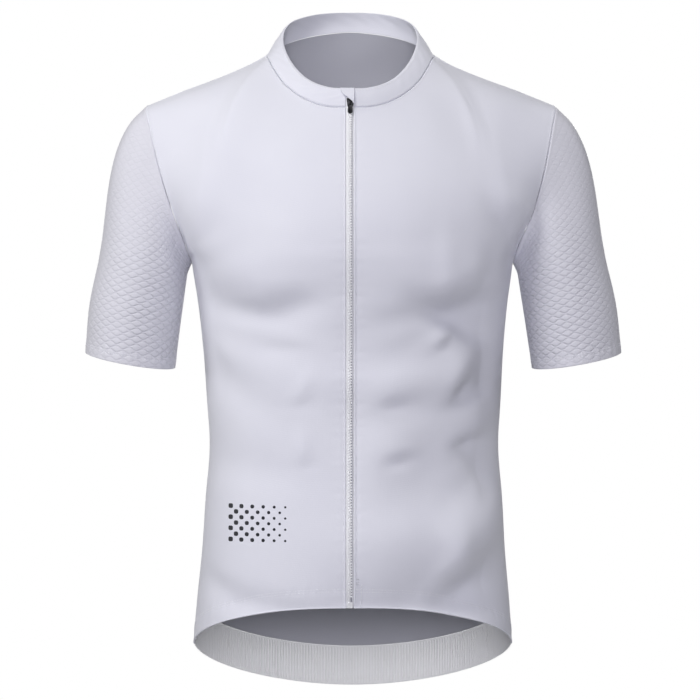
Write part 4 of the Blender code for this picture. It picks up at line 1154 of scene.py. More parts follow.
def make_stitches(panels, reliefs, finish):
    """Topstitching beside the seams, along the hems, on the pockets and beside the zip."""
    def row(name, edge, distance, span=(-math.inf, math.inf), gaps=(0.0, 0.0)):
        """Stitches along an edge, or along the part of it between two coarse places."""
        points, out = panels[name].line(edge, distance, reliefs[name])
        places, _ = panels[name].places(edge)
        chosen = (places >= min(span)) & (places <= max(span))
        return along(points[chosen], out[chosen], STITCH_PITCH, *gaps)

    shape = stitch_shape()
    arm = (GRIPPER_ROWS + BODY_ROWS, GRIPPER_ROWS + BODY_ROWS + YOKE_ROWS)
    necks = (("front_left", 0, NECK_COLUMNS), ("back", SHOULDER_COLUMNS, 2 * NECK_COLUMNS - 2),
             ("front_right", SHOULDER_COLUMNS, NECK_COLUMNS))
    armholes = (("front_left", "last"), ("front_right", "first"), ("back", "first"), ("back", "last"))
    body = [row(name, "high", NECK_STITCHES, (start, start + count)) for name, start, count in necks]
    body += [row(name, edge, ARMHOLE_STITCHES, arm) for name, edge in armholes]
    body += [row(name, "low", distance) for name in ("front_left", "front_right")
             for distance in HEM_ROWS]
    body += [row("front_left", "first", 2.4), row("front_right", "last", 2.3)]
    body.append(row("back", "low", BAND_STITCHES))
    strewn("stitches_body", shape, body, finish, STITCH_LIFT)
    guard = guard_stitches(panels["front_left"], reliefs["front_left"])
    thick_shape = (shape[0] * GUARD_THREAD, shape[1])
    strewn("stitches_guard", thick_shape, guard, finish, GUARD_LIFT)
    cuffs = [row(name, "low", distance) for name in ("sleeve_left", "sleeve_right")
             for distance in CUFF_STITCHES]
    strewn("stitches_cuffs", shape, cuffs, finish, STITCH_LIFT)
    collar = [row("collar", "low", COLLAR_STITCHES[0]), row("collar", "high", COLLAR_STITCHES[1])]
    collar += [row("collar", edge, 2.4, gaps=COLLAR_GAPS) for edge in ("first", "last")]
    strewn("stitches_collar", shape, collar, finish, STITCH_LIFT)
    pockets = [row("rear_pockets", edge, POCKET_STITCHES, gaps=POCKET_GAPS)
               for edge in ("first", "last", "low")]
    pockets.append(row("rear_pockets", "high", POCKET_BAND, gaps=POCKET_GAPS))
    cloth, relief = panels["rear_pockets"], reliefs["rear_pockets"]
    for share in (1 / 3, 2 / 3):
        for offset in (-CHANNEL_STITCHES, CHANNEL_STITCHES):
            line = up_line(cloth, relief, cloth.away["first"][:, -1] * share + offset)
            pockets.append(along(*line, STITCH_PITCH, *POCKET_GAPS))
    strewn("stitches_pockets", shape, pockets, finish, STITCH_LIFT)


# ---------------------------------------------------------------------------- zip

ZIP_REACH = 9.0             # width of cloth that sets how the zip lies between the fronts
TAPE_WIDTH = 15.0
TAPE_WALL = 0.6
TAPE_DEPTH = 1.1            # of its face under the cloth's
TAPE_SINK = 1.3             # how much deeper it lies between the teeth and the wearer's left edge
TEETH_SHADE_LINE = (1.3, 1.7)   # painted shade of the teeth on the tape: its place from the tape's edge, and its width
TAPE_PARTING = 1.6          # half the space between the tapes above the slider
PARTING_START = -54.0       # height at which they begin to part, and how far up that takes
PARTING_RISE = 9.0
TAPE_LINES = (0.15, 0.5, 0.9, 1.4, 2.0, 2.7, 3.5, 4.5, 5.5, 7.0, 8.5, 10.0, 11.5, 13.0, 14.0, 14.6,
              TAPE_WIDTH)   # places of a tape's lines of points, from the teeth's line
TAPE_GIVE = 6.0             # width of the tape that bends aside where it parts
TOOTH_PITCH = 2.85
TOOTH_DEPTH = 0.75          # of the teeth's middle under the cloth's face
TEETH_ENDS = (12.0, 4.0)    # length without teeth at the zip's foot and at its top
SLIDER_PLACE = (-2.397, -75.572, -56.0)
SLIDER_LEAN = math.atan2(0.123, 0.992)      # from upright, as the cloth leans behind it
PULL_PLACE = (-2.397, -78.649, -55.618)
BOX_PLACE = (-2.585, -107.226, -567.178)
BOX_LEAN = math.atan2(-0.1724, 0.985)
GARAGE_LINES = (22, 24)     # rows and columns of the garage flap's points
GARAGE = (
    # height, limits of the flap to both sides of the zip, stand-off from the zip
    (-57.2, 2.9, 3.9, 2.5),
    (-55.3, 2.3, 4.0, 2.2),
    (-53.6, 0.3, 4.1, 2.2),
    (-50.0, -4.4, 4.2, 2.4),
    (-44.5, -9.6, 4.6, 1.5),
    (-40.6, -10.6, 4.4, 0.9),
)


def block(size, place):
    """Box primitive of a size at a place, in edit mode."""
    box = primitive(bpy.ops.mesh.primitive_cube_add, size=1.0, location=place, scale=size)
    bpy.ops.object.mode_set(mode="EDIT")
    return box


def pick(obj, kind, test):
    """Select the vertices, edges or faces in edit mode whose middle and way pass the test."""
    bpy.ops.mesh.select_mode(type=kind)
    mesh = bmesh.from_edit_mesh(obj.data)
    for sort in (mesh.verts, mesh.edges, mesh.faces):
        for item in sort:
            item.select = False
    if kind == "VERT":
        chosen = [vert for vert in mesh.verts if test(vert.co, vert.normal)]
    elif kind == "EDGE":
        chosen = [edge for edge in mesh.edges
                  if test((edge.verts[0].co + edge.verts[1].co) / 2,
                          (edge.verts[1].co - edge.verts[0].co).normalized())]
    else:
        chosen = [face for face in mesh.faces if test(face.calc_center_median(), face.normal)]
    for item in chosen:
        item.select = True
    mesh.select_flush_mode()
    bmesh.update_edit_mesh(obj.data)


def grow(move, scale=(1.0, 1.0, 1.0), centre=(0.0, 0.0, 0.0)):
    """Extrude the selected faces by a move, then scale them about a centre."""
    bpy.ops.mesh.extrude_region_move(TRANSFORM_OT_translate={"value": move})
    bpy.ops.transform.resize(value=scale, center_override=centre)


def softened(obj, width, segments=2):
    """Leave edit mode and round the sharp edges."""
    bpy.ops.object.mode_set(mode="OBJECT")
    bevel = obj.modifiers.new("softened", "BEVEL")
    bevel.width = width
    bevel.segments = segments
    bevel.limit_method = "ANGLE"
    bevel.angle_limit = math.radians(35)
    bpy.context.view_layer.objects.active = obj
    bpy.ops.object.modifier_apply(modifier=bevel.name)
    return obj


def put(objs, name, place, lean, finish, solid, body="jersey"):
    """Join shapes modelled in millimetres into one piece, and put its mesh where it belongs."""
    bpy.ops.object.select_all(action="DESELECT")
    for obj in objs:
        obj.select_set(True)
    piece = bpy.context.view_layer.objects.active = objs[0]
    bpy.ops.object.join()
    piece.name = piece.data.name = name
    turn = Matrix.Rotation(-lean, 4, "X")
    piece.data.transform(Matrix.Translation(Vector(place) * MM) @ turn @ Matrix.Scale(MM, 4))
    bpy.ops.object.shade_smooth_by_angle(angle=math.radians(38))
    dressed(piece, finish, solid, body)


def zip_line(panels, side, offset):
    """Line up the zip at a distance from the teeth's line, from the hem to the collar's top."""
    sign, edge = (1.0, "first") if side == "left" else (-1.0, "last")
    inward = offset - FRONT_EDGE[side]
    points, out = [], []
    for name, last in (("front_" + side, -1), ("collar", None)):
        cloth = panels[name]
        flat = np.zeros(cloth.face.shape[:2])
        start, start_out = cloth.line(edge, 0.0, flat)
        if inward > 0.1:
            line, line_out = cloth.line(edge, inward, flat)
        else:
            # the line is beyond the cloth's edge, so it goes on as the cloth does
            inner, _ = cloth.line(edge, ZIP_REACH, flat)
            line, line_out = start + (inner - start) * inward / ZIP_REACH, start_out * (0.0, 1.0, 1.0)
        points.append(line[:last])
        out.append(line_out[:last])
    points = np.concatenate(points)
    points[:, 0] = ZIP_X + sign * offset
    return points, unit(np.concatenate(out))


def parting(height):
    """How far each half of the zip stands aside, above the slider."""
    return TAPE_PARTING * fade((height - PARTING_START) / PARTING_RISE)


def make_tapes(panels, finish):
    """The two woven tapes, each with its cord at the teeth."""
    near = fade(1 - (np.array(TAPE_LINES) - TAPE_LINES[0]) / TAPE_GIVE)
    for side, sign in (("left", 1.0), ("right", -1.0)):
        lines = [zip_line(panels, side, offset) for offset in TAPE_LINES]
        face = np.stack([line[0] - line[1] * TAPE_DEPTH for line in lines], axis=1)
        face[..., 0] += sign * parting(face[..., 2]) * near
        if side == "right":
            face = face[:, ::-1]
        cloth = Cloth(face, np.arange(len(face)), np.arange(len(TAPE_LINES)))
        at_teeth = cloth.away["first" if side == "left" else "last"]
        seen = fade((FRONT_EDGE[side] - 0.1 - at_teeth) / 0.6)
        relief = 0.25 * bump(at_teeth - 0.7, 0.6)
        relief += seen * (0.45 if side == "right" else -TAPE_SINK * fade((at_teeth - 0.6) / 0.6))
        cloth_piece("zip_tape_" + side + "_woven", cloth, relief, relief - TAPE_WALL, finish)


def tooth_shape():
    """One moulded tooth, its head towards -X: points and faces."""
    tooth = block((1.5, 1.5, 1.5), (1.35, 0, 0))
    pick(tooth, "FACE", lambda middle, way: way.x < -0.9)
    grow((-0.35, 0, 0), (1, 0.55, 0.75))
    grow((-0.3, 0, 0), (1, 1.75, 1.15))
    grow((-0.45, 0, 0), (1, 0.7, 0.8))
    pick(tooth, "FACE", lambda middle, way: way.z > 0.9 and middle.x > 0.5)
    bpy.ops.mesh.inset(thickness=0.28, depth=0.22)
    bpy.ops.object.mode_set(mode="OBJECT")
    return taken(tooth)


def make_teeth(panels, finish):
    """Teeth of both halves: meshed below the slider, parted above it."""
    points, out = zip_line(panels, "left", 0.0)
    length = along_lines(points[:, None])[:, 0]
    count = int((length[-1] - sum(TEETH_ENDS)) / TOOTH_PITCH)
    halves = []
    for sign, shift in ((1.0, 0.0), (-1.0, 0.5)):
        at = TEETH_ENDS[0] + TOOTH_PITCH * (np.arange(count) + shift)
        middle = between(at, length, points)
        normal = unit(between(at, length, out))
        way = unit(between(at + 1, length, points) - between(at - 1, length, points))
        middle[:, 0] += sign * parting(middle[:, 2])
        halves.append((middle - normal * TOOTH_DEPTH, way * sign, normal))
    teeth = strewn("zip_teeth", tooth_shape(), halves, finish, solid="zip_chain")
    teeth.data.shade_flat()


def make_box(finish):
    """Retaining box at the foot of the zip, with the pin's slot down its front."""
    box = block((5.4, 2.6, 5.6), (0, 0.2, 0))
    pick(box, "EDGE", lambda middle, way: abs(way.y) > 0.9)
    bpy.ops.mesh.bevel(offset=0.9, segments=4, affect="EDGES")
    pick(box, "FACE", lambda middle, way: way.y < -0.9)
    bpy.ops.mesh.inset(thickness=0.55, depth=0.0)
    bpy.ops.mesh.extrude_region_move(TRANSFORM_OT_translate={"value": (0, 0.25, 0)})
    softened(box, 0.16)
    rib = block((0.7, 0.7, 5.0), (-0.9, -1.05, 0))
    softened(rib, 0.15)
    put([box, rib], "zip_box_moulded", BOX_PLACE, BOX_LEAN, finish, "zip_box")


def slider_plate(thickness, y):
    """Shield-shaped plate of the slider, wide at its mouth and narrow at its foot."""
    plate = block((7.4, thickness, 9.4), (0, y, 0))
    pick(plate, "VERT", lambda place, way: place.z < 0)
    bpy.ops.transform.resize(value=(0.72, 1, 1), center_override=(0, y, 0))
    pick(plate, "EDGE", lambda middle, way: abs(way.y) > 0.9)
    bpy.ops.mesh.bevel(offset=1.5, segments=5, affect="EDGES")
    return plate


def make_slider(finish):
    """Slider: crowned front plate, side walls, wedge, back plate and the bail for the pull."""
    front = slider_plate(1.25, -1.0)
    pick(front, "FACE", lambda middle, way: way.y < -0.9)
    bpy.ops.mesh.inset(thickness=0.75, depth=0.0)
    grow((0, -0.3, 0), (0.88, 1, 0.88), (0, -1.6, 0))
    softened(front, 0.15)
    back = softened(slider_plate(1.0, 4.2), 0.2)
    walls = []
    for side in (-1, 1):
        wall = block((0.9, 4.6, 6.6), (2.75 * side, 1.6, 0.6))
        pick(wall, "VERT", lambda place, way: place.z < 0)
        bpy.ops.transform.translate(value=(-0.5 * side, 0, 0))
        walls.append(softened(wall, 0.2))
    wedge = block((1.7, 5.2, 2.4), (0, 1.6, 3.0))
    pick(wedge, "VERT", lambda place, way: place.z < 3.0)
    bpy.ops.transform.resize(value=(0.3, 1, 1), center_override=(0, 1.6, 3.0))
    softened(wedge, 0.2)
    foot_y, bow, stretch = -1.3, 2.6, 1.18      # of the bail: its feet, its radius, its stretch in y
    bail = primitive(bpy.ops.mesh.primitive_circle_add, vertices=12, radius=0.58, fill_type="NGON",
                     location=(0, foot_y, bow), rotation=(math.pi / 2, 0, 0))
    bpy.ops.object.mode_set(mode="EDIT")
    bpy.ops.mesh.select_all(action="SELECT")
    bpy.ops.mesh.spin(steps=14, angle=math.pi, center=(0, foot_y, 0), axis=(1, 0, 0))
    bpy.ops.mesh.select_all(action="SELECT")
    bpy.ops.mesh.normals_make_consistent(inside=False)
    bpy.ops.object.mode_set(mode="OBJECT")
    if max(vert.co.y for vert in bail.data.vertices) > 0:       # it was spun inwards
        for vert in bail.data.vertices:
            vert.co.y = 2 * foot_y - vert.co.y
        bail.data.flip_normals()
    for vert in bail.data.vertices:
        vert.co.y = foot_y + (vert.co.y - foot_y) * stretch
    put([front, back, *walls, wedge, bail], "zip_slider_cast", SLIDER_PLACE, SLIDER_LEAN, finish,
        "zip_slider")


def make_pull(finish):
    """Leaf-shaped pull that hangs from the bail by its top bar, with a sunk panel on each face."""
    foot = -9.5             # height of the middle of the leaf's round foot
    leaf = primitive(bpy.ops.mesh.primitive_cylinder_add, vertices=40, radius=2.5, depth=1.2,
                     location=(0, 0, foot), rotation=(math.pi / 2, 0, 0))
    bpy.ops.object.mode_set(mode="EDIT")
    pick(leaf, "VERT", lambda place, way: place.z > foot + 0.1)
    bpy.ops.transform.resize(value=(1, 1, 3.95), center_override=(0, 0, foot))
    pick(leaf, "FACE", lambda middle, way: abs(way.y) > 0.9)
    bpy.ops.mesh.inset(thickness=0.6, depth=0.0)
    bpy.ops.mesh.inset(thickness=0.15, depth=-0.18)
    bpy.ops.object.mode_set(mode="OBJECT")
    slot = softened(block((1.5, 4.0, 3.7), (0, 0, -2.75)), 0.4)
    cut = leaf.modifiers.new("slot", "BOOLEAN")
    cut.operation = "DIFFERENCE"
    cut.solver = "EXACT"
    cut.object = slot
    bpy.context.view_layer.objects.active = leaf
    bpy.ops.object.modifier_apply(modifier=cut.name)
    bpy.data.objects.remove(slot)
    softened(leaf, 0.12, 1)
    bar = softened(primitive(bpy.ops.mesh.primitive_cylinder_add, vertices=16, radius=0.52, depth=2.6,
                             rotation=(0, math.pi / 2, 0)), 0.15)
    put([leaf, bar], "zip_pull_leaf", PULL_PLACE, SLIDER_LEAN, finish, "zip_pull",
        body="pull")


def make_garage(panels, finish):
    """Folded flap at the collar's top that covers the slider's upper end."""
    points, out = zip_line(panels, "left", 0.0)
    rows, columns = np.arange(GARAGE_LINES[0]), np.arange(GARAGE_LINES[1])
    heights = np.linspace(GARAGE[0][0], GARAGE[-1][0], len(rows))
    limits = smooth(column(GARAGE, 0), column(GARAGE, 1, 2, 3), heights)
    place = between(heights, points[:, 2], points)
    normal = unit(between(heights, points[:, 2], out))
    share = np.linspace(0, 1, len(columns))
    face = np.repeat((place + normal * limits[:, 2:])[:, None], len(columns), axis=1)
    face[..., 0] = ZIP_X + limits[:, :1] * (1 - share) + limits[:, 1:2] * share
    cloth = Cloth(face, rows, columns)
    edge = np.min([cloth.away[e] for e in ("low", "high", "first", "last")], axis=0)
    relief = 0.6 + 0.28 * bump(edge - 0.7, 0.5) - 0.15 * bump(edge - 1.6, 0.4)
    lining = np.full_like(relief, -0.5)
    round_over(relief, lining, edge, EDGE_WALL)
    cloth_piece("zip_garage_flap", cloth, relief, lining, finish, folded=True)


# ---------------------------------------------------------------------------- finishes

def linear(colour):
    """Linear colour of an sRGB hex value."""
    shares = [int(colour[at:at + 2], 16) / 255 for at in (1, 3, 5)]
    return (*[s / 12.92 if s <= 0.04045 else ((s + 0.055) / 1.055) ** 2.4 for s in shares], 1.0)


def feed(tree, node, inputs):
    """Give a node its inputs. Each is a value, or another node's output to link."""
    for name, value in inputs.items():
        if isinstance(value, bpy.types.NodeSocket):
            tree.links.new(value, node.inputs[name])
        else:
            node.inputs[name].default_value = value


def add(tree, kind, settings, inputs):
    """Add a shader node with its settings and its inputs."""
    node = tree.nodes.new("ShaderNode" + kind)
    for name, value in settings.items():
        setattr(node, name, value)
    feed(tree, node, inputs)
    return node


def new_finish(name, colour, **settings):
    """New material with the shader's own values: its node tree and its shader."""
    material = bpy.data.materials.new(name)
    material.use_nodes = True
    shader = material.node_tree.nodes["Principled BSDF"]
    shader.inputs["Base Color"].default_value = linear(colour)
    for socket, value in settings.items():
        shader.inputs[socket.replace("_", " ")].default_value = value
    return material, material.node_tree, shader


def wave_scale(pitch):
    """Scale of a Wave Texture in metres whose bands are a pitch in millimetres apart."""
    return 2 * math.pi / 20 / (pitch * MM)


def knit_height(tree, wale, course):
    """Height of a plain knit on the cloth's UV map: its upright wales, its rows and a little fuzz."""
    flat = add(tree, "UVMap", {"uv_map": "cloth"}, {}).outputs["UV"]
    wales, rows = (add(tree, "TexWave", {"bands_direction": direction},
                       {"Vector": flat, "Scale": wave_scale(pitch), "Distortion": distortion,
                        "Detail Scale": 4.0}).outputs["Fac"]
                   for direction, pitch, distortion in (("X", wale, 0.6), ("Y", course, 0.8)))
    fuzz = add(tree, "TexNoise", {}, {"Vector": flat, "Scale": 1600.0, "Detail": 2.0})
    knit = add(tree, "Math", {"operation": "MULTIPLY"}, {0: wales, 1: rows}).outputs[0]
    return add(tree, "Math", {"operation": "MULTIPLY_ADD"},
               {0: fuzz.outputs["Fac"], 1: 0.5, 2: knit}).outputs[0]


def interlock_knit(name="polyester_interlock_knit"):
    """Polyester interlock, knitted fine and heat-set: smooth, matt, with a faint upright grain."""
    material, tree, shader = new_finish(name, "#E2E3ED", Roughness=0.78, Specular_IOR_Level=0.3,
                                        Sheen_Weight=0.25, Sheen_Roughness=0.45)
    # the dye takes a little unevenly, in large soft clouds
    place = add(tree, "TexCoord", {}, {}).outputs["Object"]
    clouds = add(tree, "TexNoise", {}, {"Vector": place, "Scale": 1 / (90 * MM), "Detail": 3.0})
    dye = add(tree, "Mix", {"data_type": "RGBA"},
              {"Factor": clouds.outputs["Fac"], "A": linear("#DEDFEA"), "B": linear("#E6E7F0")})
    # the reverse, the cloth's inside face, is painted darker: painted shade for the garment's shaded
    # inside
    inside = add(tree, "Attribute", {"attribute_name": "reverse"}, {}).outputs["Fac"]
    cloth = add(tree, "Mix", {"data_type": "RGBA"},
                {"Factor": inside, "A": dye.outputs["Result"], "B": linear("#CACBD4")})
    # a real wale is 0.7 mm wide, too fine to show, so it is drawn twice as wide
    relief = add(tree, "Bump", {},
                 {"Height": knit_height(tree, 1.4, 1.9), "Strength": 0.35, "Distance": 0.00012})
    feed(tree, shader, {"Base Color": cloth.outputs["Result"], "Normal": relief.outputs["Normal"]})
    return material


PRINT_MIDDLE = (-0.0965, 0.0, -0.4855)
DOT_PITCH = 8.0             # in millimetres, along the slanting rows
DOT_ROWS = (11, 7)          # in half steps of the slanting grid: across and up
DOT_LEVELS = (0.4, 1.65)    # for two cosines' sum to pass, for the largest and the smallest dot


def printed_knit():
    """The same interlock with a transfer print: flat satin ink, in dots that shrink to one side."""
    material = interlock_knit("printed_interlock_knit")
    tree = material.node_tree
    shader = tree.nodes["Principled BSDF"]
    place = add(tree, "TexCoord", {}, {}).outputs["Object"]
    across, _, up = add(tree, "SeparateXYZ", {}, {0: place}).outputs
    turned = add(tree, "Mapping", {"vector_type": "TEXTURE"},
                 {"Vector": place, "Location": PRINT_MIDDLE, "Rotation": (0, math.pi / 4, 0),
                  "Scale": [DOT_PITCH * MM / (2 * math.pi)] * 3}).outputs[0]
    first, _, second = add(tree, "SeparateXYZ", {}, {0: turned}).outputs
    waves = [add(tree, "Math", {"operation": "COSINE"}, {0: axis}).outputs[0]
             for axis in (first, second)]
    peaks = add(tree, "Math", {"operation": "ADD"}, dict(enumerate(waves))).outputs[0]
    half_width, half_height = (rows * DOT_PITCH * MM / math.sqrt(8) for rows in DOT_ROWS)
    level = add(tree, "MapRange", {},
                {"Value": across, "From Min": PRINT_MIDDLE[0] - half_width,
                 "From Max": PRINT_MIDDLE[0] + half_width,
                 "To Min": DOT_LEVELS[0], "To Max": DOT_LEVELS[1]}).outputs[0]
    facing = add(tree, "NewGeometry", {}, {}).outputs["Normal"]
    _, towards_back, _ = add(tree, "SeparateXYZ", {}, {0: facing}).outputs
    # ink lies on the dots, inside the print's edges and on the cloth's outer face
    limits = (("GREATER_THAN", {0: peaks, 1: level}),
              ("COMPARE", {0: across, 1: PRINT_MIDDLE[0], 2: half_width}),
              ("COMPARE", {0: up, 1: PRINT_MIDDLE[2], 2: half_height}),
              ("LESS_THAN", {0: towards_back, 1: -0.2}))
    ink = 1.0
    for operation, inputs in limits:
        inside = add(tree, "Math", {"operation": operation}, inputs).outputs[0]
        ink = add(tree, "Math", {"operation": "MULTIPLY"}, {0: ink, 1: inside}).outputs[0]
    cloth = shader.inputs["Base Color"].links[0].from_socket
    mix = add(tree, "Mix", {"data_type": "RGBA"},
              {"Factor": ink, "A": cloth, "B": linear("#23242B")})
    satin = add(tree, "MapRange", {}, {"Value": ink, "To Min": 0.78, "To Max": 0.45})
    feed(tree, shader, {"Base Color": mix.outputs["Result"], "Roughness": satin.outputs[0]})
    return material


def embossed_knit():
    """Polyester jacquard knit: its lattice of sunk lines leaves pillowed scales that catch the light;
    the sunk lines are painted a little darker as shade.
    """
    material, tree, shader = new_finish("polyester_jacquard_knit", "#D9DAE3", Roughness=0.7,
                                        Specular_IOR_Level=0.35, Sheen_Weight=0.3, Sheen_Roughness=0.4)
    weave = add(tree, "Attribute", {"attribute_name": "weave"}, {}).outputs["Vector"]
    turn, rise, slack = add(tree, "SeparateXYZ", {}, {0: weave}).outputs
    wave = add(tree, "Math", {"operation": "COSINE"}, {0: turn}).outputs[0]
    nearest = []
    for sway, start in ((-LATTICE_SWAY, 0.0), (LATTICE_SWAY, 1.0)):
        line = rise
        for operation, inputs in (("MULTIPLY_ADD", {0: wave, 1: sway, 2: rise}), ("ADD", {1: start}),
                                  ("PINGPONG", {1: 1.0})):
            line = add(tree, "Math", {"operation": operation}, {0: line, **inputs}).outputs[0]
        nearest.append(line)
    line = add(tree, "Math", {"operation": "MINIMUM"}, dict(enumerate(nearest))).outputs[0]
    sunk = add(tree, "MapRange", {"interpolation_type": "SMOOTHSTEP"},
               {"Value": line, "From Max": 0.4, "To Min": slack, "To Max": 0.0}).outputs["Result"]
    # the sunk lines get a darker colour: painted shade in the grooves
    mix = add(tree, "Mix", {"data_type": "RGBA"},
              {"Factor": sunk, "A": linear("#DBDBE4"), "B": linear("#D3D3DD")})
    pillows = add(tree, "Bump", {"invert": True}, {"Height": sunk, "Distance": 0.0005})
    relief = add(tree, "Bump", {}, {"Height": knit_height(tree, 1.3, 1.6), "Strength": 0.4,
                                              "Distance": 0.00012, "Normal": pillows.outputs["Normal"]})
    feed(tree, shader, {"Base Color": mix.outputs["Result"], "Normal": relief.outputs["Normal"]})
    return material


def ribbed_elastic():
    """Knitted elastane band: matt, its ribs upright, and open enough for light to glow through."""
    material, tree, shader = new_finish("knitted_elastic", "#EDEEF6", Roughness=0.82, Sheen_Weight=0.2,
                                        Subsurface_Weight=1.0, Subsurface_Scale=0.005,
                                        Subsurface_Radius=(1.0, 1.0, 1.0))
    relief = add(tree, "Bump", {},
                 {"Height": knit_height(tree, 0.8, 1.1), "Strength": 0.5, "Distance": 0.00015})
    feed(tree, shader, {"Normal": relief.outputs["Normal"]})
    return material


def woven_tape():
    """Polyester zip tape, woven as a fine herringbone, with a grey line painted beside the cord as the
    teeth's shade.
    """
    material, tree, shader = new_finish("woven_polyester_tape", "#E9EAEE", Roughness=0.6,
                                        Sheen_Weight=0.15)
    flat = add(tree, "UVMap", {"uv_map": "cloth"}, {}).outputs["UV"]
    from_cord, _, _ = add(tree, "SeparateXYZ", {}, {0: flat}).outputs
    # a grey line beside the cord is painted shade, where the teeth and the cloth's edge shade the tape
    teeth_shade = add(tree, "Math", {"operation": "COMPARE"},
                {0: from_cord, 1: TEETH_SHADE_LINE[0] * MM, 2: TEETH_SHADE_LINE[1] * MM / 2}).outputs[0]
    mix = add(tree, "Mix", {"data_type": "RGBA"},
              {"Factor": teeth_shade, "A": linear("#E9EAEE"), "B": linear("#A9AAB2")})
    twill = add(tree, "TexWave", {"bands_direction": "DIAGONAL"},
                {"Vector": flat, "Scale": wave_scale(1.3), "Distortion": 0.4})
    relief = add(tree, "Bump", {},
                 {"Height": twill.outputs["Fac"], "Strength": 0.6, "Distance": 0.0002})
    feed(tree, shader, {"Base Color": mix.outputs["Result"], "Normal": relief.outputs["Normal"]})
    return material


def moulded_acetal():
    """Injection-moulded acetal teeth: satin white plastic with a faint grain from the mould."""
    material, tree, shader = new_finish("moulded_acetal", "#EEEFF2", Roughness=0.38, IOR=1.48)
    place = add(tree, "TexCoord", {}, {}).outputs["Object"]
    grain = add(tree, "TexNoise", {}, {"Vector": place, "Scale": 2200.0, "Detail": 2.0})
    relief = add(tree, "Bump", {},
                 {"Height": grain.outputs["Fac"], "Strength": 0.15, "Distance": 0.00008})
    feed(tree, shader, {"Normal": relief.outputs["Normal"]})
    return material


def lacquered_zinc():
    """Die-cast zinc under black lacquer: dark and smooth, with soft highlights that handling dulls."""
    material, tree, shader = new_finish("black_lacquered_zinc", "#121318", Metallic=0.4, Roughness=0.34,
                                        Coat_Weight=0.25, Coat_Roughness=0.2)
    place = add(tree, "TexCoord", {}, {}).outputs["Object"]
    handling = add(tree, "TexNoise", {}, {"Vector": place, "Scale": 700.0, "Detail": 4.0})
    spread = add(tree, "MapRange", {},
                 {"Value": handling.outputs["Fac"], "To Min": 0.26, "To Max": 0.44})
    relief = add(tree, "Bump", {},
                 {"Height": handling.outputs["Fac"], "Strength": 0.08, "Distance": 0.0001})
    feed(tree, shader, {"Roughness": spread.outputs["Result"], "Normal": relief.outputs["Normal"]})
    return material


def sewing_thread():
    """Twisted polyester thread: a touch brighter and shinier than the cloth it lies on."""
    material, tree, shader = new_finish("polyester_thread", "#ECEDF3", Roughness=0.5, Sheen_Weight=0.2)
    place = add(tree, "TexCoord", {}, {}).outputs["Object"]
    twist = add(tree, "TexWave", {"bands_direction": "DIAGONAL"},
                {"Vector": place, "Scale": wave_scale(0.6), "Distortion": 0.5})
    relief = add(tree, "Bump", {},
                 {"Height": twist.outputs["Fac"], "Strength": 0.4, "Distance": 0.0001})
    feed(tree, shader, {"Normal": relief.outputs["Normal"]})
    return material


# ---------------------------------------------------------------------------- stage

CAMERA_PLACE = (-0.0026, -2.7, -0.309)
CAMERA_LENS = 131.9
FLOOR_Z = -1.6
FLOOR_SIZE = 2.2
ROOM_GLOW = 0.03            # strength of the surroundings' own light
LIT_MIDDLE = (0.0, 0.0, -0.3)       # the jersey's middle, which every light faces
LIGHTS = (
    # name, place in metres, size, power, colour
    ("key", (-1.0, -1.2, 1.8), 0.8, 31.0, "#FFFEF9"),
    ("front", (0.0, -2.8, 0.12), 0.8, 36.3, "#F9F7FF"),
    ("left", (-2.4, -0.6, 0.2), 0.8, 16.0, "#FFFFFF"),
    ("right", (1.6, -2.0, 0.3), 0.8, 5.5, "#FFFFFF"),
    ("rim", (2.2, 0.6, 0.6), 0.8, 10.5, "#FFFFFF"),
    ("back", (0.2, 2.4, 0.5), 1.2, 42.0, "#FFFFFF"),
)


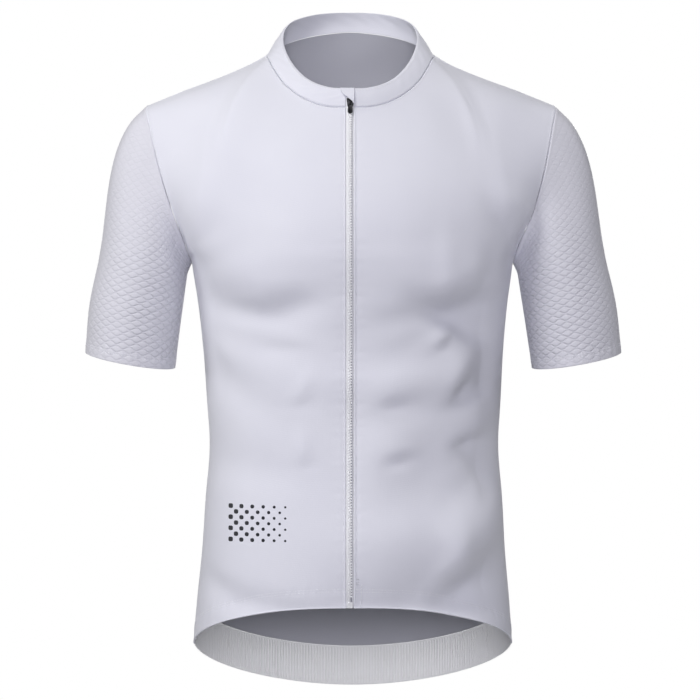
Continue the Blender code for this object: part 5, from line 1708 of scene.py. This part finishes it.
def make_stage():
    """Floor, white surroundings, soft lights and the camera."""
    scene = bpy.context.scene
    scene.view_settings.view_transform = "Standard"
    floor = primitive(bpy.ops.mesh.primitive_plane_add, size=FLOOR_SIZE, location=(0, 0, FLOOR_Z))
    floor.name = "studio_floor"
    paint, _, _ = new_finish("matt_white_paint", "#E9E9EA", Roughness=0.9)
    floor.data.materials.append(paint)
    world = bpy.data.worlds.new("studio")
    scene.world = world
    world.use_nodes = True
    tree = world.node_tree
    glow, backdrop = tree.nodes["Background"], add(tree, "Background", {}, {})
    feed(tree, glow, {"Strength": ROOM_GLOW, "Color": linear("#F2F4FF")})
    feed(tree, backdrop, {"Strength": 1.0, "Color": (1, 1, 1, 1)})
    seen = add(tree, "LightPath", {}, {}).outputs["Is Camera Ray"]
    both = add(tree, "MixShader", {}, {0: seen, 1: glow.outputs[0], 2: backdrop.outputs[0]})
    feed(tree, tree.nodes["World Output"], {0: both.outputs[0]})
    for light in LIGHTS:
        add_light(*light)
    lens = bpy.data.cameras.new("camera")
    lens.sensor_width = 36.0
    lens.lens = CAMERA_LENS
    camera = bpy.data.objects.new("camera", lens)
    camera.location = CAMERA_PLACE
    camera.rotation_euler = (math.pi / 2, 0, 0)
    scene.collection.objects.link(camera)
    scene.camera = camera


def add_light(name, place, size, power, colour):
    """Square soft light that faces the jersey's middle."""
    lamp = bpy.data.lights.new(name, "AREA")
    lamp.size = size
    lamp.energy = power
    lamp.color = linear(colour)[:3]
    light = bpy.data.objects.new(name, lamp)
    light.location = place
    light.rotation_euler = (Vector(LIT_MIDDLE) - Vector(place)).to_track_quat("-Z", "Y").to_euler()
    bpy.context.scene.collection.objects.link(light)


# ---------------------------------------------------------------------------- the jersey

def main():
    """Make the whole jersey and its stage."""
    knit, sleeve_knit, elastic = interlock_knit(), embossed_knit(), ribbed_elastic()
    tape, acetal, zinc, thread = woven_tape(), moulded_acetal(), lacquered_zinc(), sewing_thread()
    panels = make_panels()
    reliefs = {
        "front_left": make_front("left", panels["front_left"], knit),
        "front_right": make_front("right", panels["front_right"], printed_knit()),
        "back": make_back(panels["back"], knit),
        "hem_gripper": make_band(panels["hem_gripper"], elastic),
        "collar": make_collar(panels["collar"], knit),
    }
    for side in ("left", "right"):
        reliefs["sleeve_" + side] = make_sleeve(side, panels["sleeve_" + side], sleeve_knit)
    panels["rear_pockets"], reliefs["rear_pockets"] = make_pockets(knit)
    make_garage(panels, knit)
    make_stitches(panels, reliefs, thread)
    make_tapes(panels, tape)
    make_teeth(panels, acetal)
    make_box(acetal)
    make_slider(zinc)
    make_pull(zinc)
    make_stage()


main()
